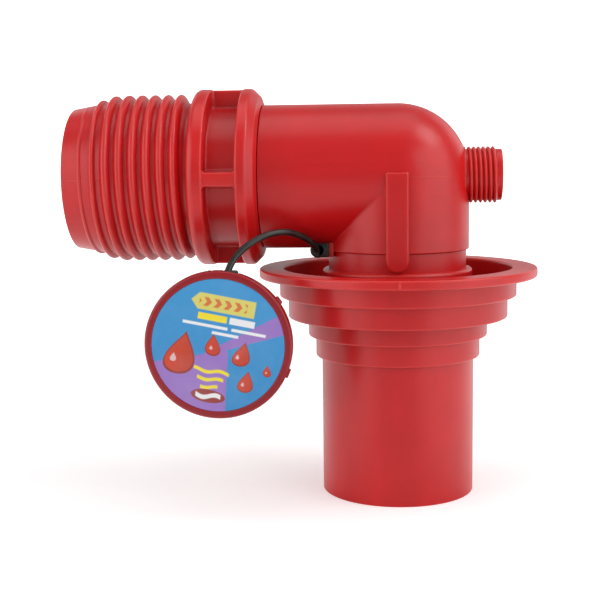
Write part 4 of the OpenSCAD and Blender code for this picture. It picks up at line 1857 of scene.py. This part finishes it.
@dataclass
class HoseSpigot:
    """The swivelling hose spigot: grip collar with ribs, neck, coarse thread and stepped nose."""

    bench: Workbench
    shared: Shared
    collar_start: float = 62.45
    collar_end: float = 93.45
    collar_radius: float = 41.1
    foot_radius: float = 34.1
    inner_rim: float = 9.0
    outer_rim: float = 7.5
    rim_round: float = 3.4
    recess_radius: float = 32.2
    rim_from: float = 1.1
    rib_width: float = 6.2
    rib_count: int = 4
    rib_drop: float = 0.55
    neck_radius: float = 34.1
    neck_bore: float = 32.1
    neck_end: float = 95.35
    neck_gap: float = 0.75
    core_start: float = 99.55
    core_end: float = 131.55
    core_radius: float = 36.3
    thread_height: float = 2.65
    thread_start: float = 144.05
    pitch: float = 6.2
    turns: float = 7.9
    wall: float = 2.5
    nose_radius: float = 32.85
    nose_end: float = 151.2
    lip: float = 0.6
    line_end: tuple[float, float] = (0.8, 0.14)

    def _thread(self) -> Thread:
        """The coarse hose thread, which starts on the nose and ends at the neck."""
        slope = (self.core_radius - self.nose_radius) / (self.nose_end - self.core_end)
        return Thread(
            name="hose_thread",
            core=self.core_radius,
            near_core=self.neck_radius,
            far_core=self.nose_radius + self.lip * slope,
            near=self.collar_end + self.neck_gap,
            taper_from=self.neck_end,
            straight_from=self.core_start,
            straight_to=self.core_end,
            far=self.nose_end - self.lip,
            crest_radius=self.core_radius + self.thread_height,
            pitch=self.pitch,
            turns=self.turns,
            start=self.thread_start,
            side=-1.0,
            foot=0.4,
            crest=0.02,
            first_taper=2.2,
            last_taper=0.6,
        )

    def _corners(self, thread: Thread) -> list[ProfilePoint]:
        """The spigot's section from the nose's lip round inside to the neck."""
        nose_bore = self.nose_radius - self.wall
        thread_bore = self.core_radius - self.wall
        bore_end = self.core_end + self.wall
        neck_bore_end = self.core_start + self.wall / 2
        shoulder = self.collar_start + self.rim_from
        recess_start = self.collar_start + self.inner_rim
        recess_end = self.collar_end - self.outer_rim
        return [
            (thread.far_core, thread.far, 0),
            (self.nose_radius, self.nose_end, 0.25),
            (nose_bore, self.nose_end, 0.8),
            (nose_bore, bore_end, 0.8),
            (thread_bore, bore_end, 0.8),
            (thread_bore, neck_bore_end, 0.8),
            (self.neck_bore, neck_bore_end, 0.8),
            (self.neck_bore, self.collar_end, 0.4),
            (self.shared.swivel_bore, self.collar_end, 0.4),
            (self.shared.swivel_bore, self.collar_start, 0.5),
            (self.foot_radius, self.collar_start, 0.3),
            (self.collar_radius - self.rim_round, shoulder, 1.2),
            (self.collar_radius, shoulder + self.rim_round, 2.2),
            (self.collar_radius, recess_start, 1.0),
            (self.recess_radius, recess_start, 1.4),
            (self.recess_radius, recess_end, 1.4),
            (self.collar_radius, recess_end, 1.0),
            (self.collar_radius, self.collar_end, self.rim_round),
            (self.neck_radius, self.collar_end, 0.6),
            (self.neck_radius, thread.near, 0),
        ]

    def _mould_line(self) -> Shell:
        """The parting line along the front of the nose."""
        axis = self.shared.axis_height
        back, rise = self.line_end
        ends = [(self.nose_end - back, self.nose_radius + rise), (self.core_end, self.core_radius)]
        path = np.array([(-x, -radius, axis) for x, radius in ends])
        return Shell.bead(path, np.array((0.0, -1.0, 0.0)))

    def build(
        self, red: bpy.types.Material, nylon: bpy.types.Material, steel: bpy.types.Material
    ) -> None:
        """Makes the spigot, its ribs and its mould line, and dresses what holds it on the sleeve."""
        thread = self._thread()
        axis = self.shared.axis_height
        body = Shell.lathed(self._corners(thread), Axis.HOSE, self.shared.corner, steps=8)
        whole = Shell.joined([body, thread.skin(axis, red)])
        self.bench.piece(
            "hose_spigot_body", whole, "hose_spigot", red, "spigot_red", ["hose_spigot"]
        )
        ribs = RibRing(
            count=self.rib_count,
            width=self.rib_width,
            floor=self.recess_radius,
            top=self.collar_radius - self.rib_drop,
            near=self.collar_start + self.inner_rim,
            far=self.collar_end - self.outer_rim,
        )
        self.bench.piece("collar_ribs", ribs.skin(axis, red), "hose_spigot", red, "spigot_red")
        self.bench.piece("nose_mould_line", self._mould_line(), "hose_spigot", red, "spigot_red")
        self.bench.dress("slip_washer", nylon)
        self.bench.dress("retaining_ring", steel)


@dataclass
class DripCap:
    """The round drip cap with its label, skirt, gasket, grip bumps and room for the toggle."""

    bench: Workbench
    centre_x: float = -77.4
    centre_z: float = 78.3
    front_y: float = -59.0
    radius: float = 32.3
    rim_thickness: float = 6.0
    face: float = 2.2
    ring_width: float = 3.3
    recess: float = 0.6
    skirt_radius: float = 29.5
    skirt_wall: float = 2.6
    skirt_depth: float = 7.0
    label_thickness: float = 0.4
    bump_angles: tuple[float, ...] = (36.0, -23.0)
    bump_width: float = 3.8
    bump_height: float = 0.9
    bump_sunk: float = 1.0
    bump_from: float = 1.6
    label_gap: float = 0.1
    notch_height: float = 8.0
    notch_over: float = 0.5
    hinge: Hinge = Hinge()

    @property
    def label_radius(self) -> float:
        """Radius of the label."""
        return self.radius - self.ring_width

    @property
    def origin(self) -> Point:
        """The middle of the cap's front."""
        return (self.centre_x, self.front_y, self.centre_z)

    def _disc(self) -> Shell:
        """The cap's body, turned about its own axis."""
        inner = self.skirt_radius - self.skirt_wall
        back = self.rim_thickness + self.skirt_depth
        ring = self.label_radius + self.label_gap
        corners = [
            (0, self.recess, 0),
            (ring, self.recess, 0.2),
            (ring, 0, 0.3),
            (self.radius, 0, 1.3),
            (self.radius, self.rim_thickness, 0.9),
            (self.skirt_radius, self.rim_thickness, 0.4),
            (self.skirt_radius, back, 0.7),
            (inner, back, 0.6),
            (inner, self.recess + self.face, 0.8),
            (0, self.recess + self.face, 0),
        ]
        return Shell.lathed(corners, Axis.CAP, self.origin)

    def _bump(self, angle: float) -> Shell:
        """A grip bump on the rim at an angle from +X towards +Z."""
        half = self.bump_width / 2
        rim = self.centre_x + self.radius
        low = (rim - self.bump_sunk, self.front_y + self.bump_from, self.centre_z - half)
        high = (rim + self.bump_height, self.front_y + self.rim_thickness, self.centre_z + half)
        block = Shell.block(low, high, 0.6)
        return block.turned_about(Vector((0, -1, 0)), math.radians(angle), self.origin)

    def _notch(self, start: float, end: float) -> Shell:
        """The room for a bead in the back of the rim, between two distances from the cap's middle."""
        x, y, z = self.hinge.place
        depth = self.hinge.bead_radius + self.hinge.gap
        low = (x + start, y - depth, z - depth)
        back = self.front_y + self.rim_thickness + self.notch_over
        return Shell.block(low, (x + end, back, z + self.notch_height), 0.35)

    def _hinge_room(self) -> Shell:
        """Both notches and the pin's hole between them."""
        h = self.hinge
        half = h.width / 2
        right = self._notch(half, half + h.eye_length + 2 * h.gap)
        left = self._notch(-half - h.bead_length - 2 * h.gap, -half)
        hole_radius = h.pin_radius + h.pin_play
        reach = half - CUTTER_GAP
        outline = [(0, -reach), (hole_radius, -reach), (hole_radius, reach), (0, reach)]
        hole = Shell.turned(outline, Axis.RINSE, h.place, columns=HOLE_COLUMNS)
        return Shell.joined([right, left, hole])

    def _label(self) -> Shell:
        """The label, a thin disc with a rounded edge."""
        front = self.recess - self.label_thickness
        corners = [
            (0, front, 0),
            (self.label_radius, front, 0.15),
            (self.label_radius, self.recess, 0.05),
            (0, self.recess, 0),
        ]
        return Shell.lathed(corners, Axis.CAP, self.origin)

    def build(self, red: bpy.types.Material, rubber: bpy.types.Material) -> None:
        """Makes the cap and its label, and dresses its gasket."""
        body = cut(self._disc(), self._hinge_room())
        self.bench.piece("cap_body", body, "drip_cap", red, "cap_red", ["drip_cap"])
        bumps = Shell.joined([self._bump(angle) for angle in self.bump_angles])
        self.bench.piece("cap_grip_bumps", bumps, "drip_cap", red, "cap_red")
        ink = LabelPrint(self.centre_x, self.centre_z, self.label_radius).material()
        self.bench.piece(
            "cap_label_print", self._label(), "drip_cap", ink, "label_print", ["cap_label"]
        )
        self.bench.dress("cap_gasket", rubber)


def main() -> None:
    """Builds the camera, the tether, the studio and the fitting, in that order."""
    logging.basicConfig(level=logging.INFO, format="%(name)s: %(message)s")
    bench = Workbench()
    shared = Shared()
    ProductCamera().build()
    Tether(bench).build()
    Studio().build()
    rubber = SealRubber().material()
    adapter_red = MouldedRed("adapter_red", flow=(1.0, 1.0, 0.12))
    StepAdapter(bench, shared).build(adapter_red.material(), rubber)
    Elbow(bench, shared).build(MouldedRed("elbow_red").material(), rubber)
    RinsePort(bench, shared).build(MouldedRed("rinse_red").material())
    spigot_red = MouldedRed("spigot_red").material()
    HoseSpigot(bench, shared).build(spigot_red, WasherNylon().material(), SpringSteel().material())
    # Painted shade: the cap's reds are darker copies of the fitting's red, standing in for its duller look
    # under these lamps.
    cap_red = MouldedRed(
        "cap_red",
        colour=display(146, 8, 22),
        worn=display(168, 34, 42),
        deep=display(112, 4, 14),
        flow=(1.0, 0.12, 1.0),
    )
    DripCap(bench).build(cap_red.material(), rubber)
    LOG.info("%d pieces", len(bench.made))


if __name__ == "__main__":
    main()
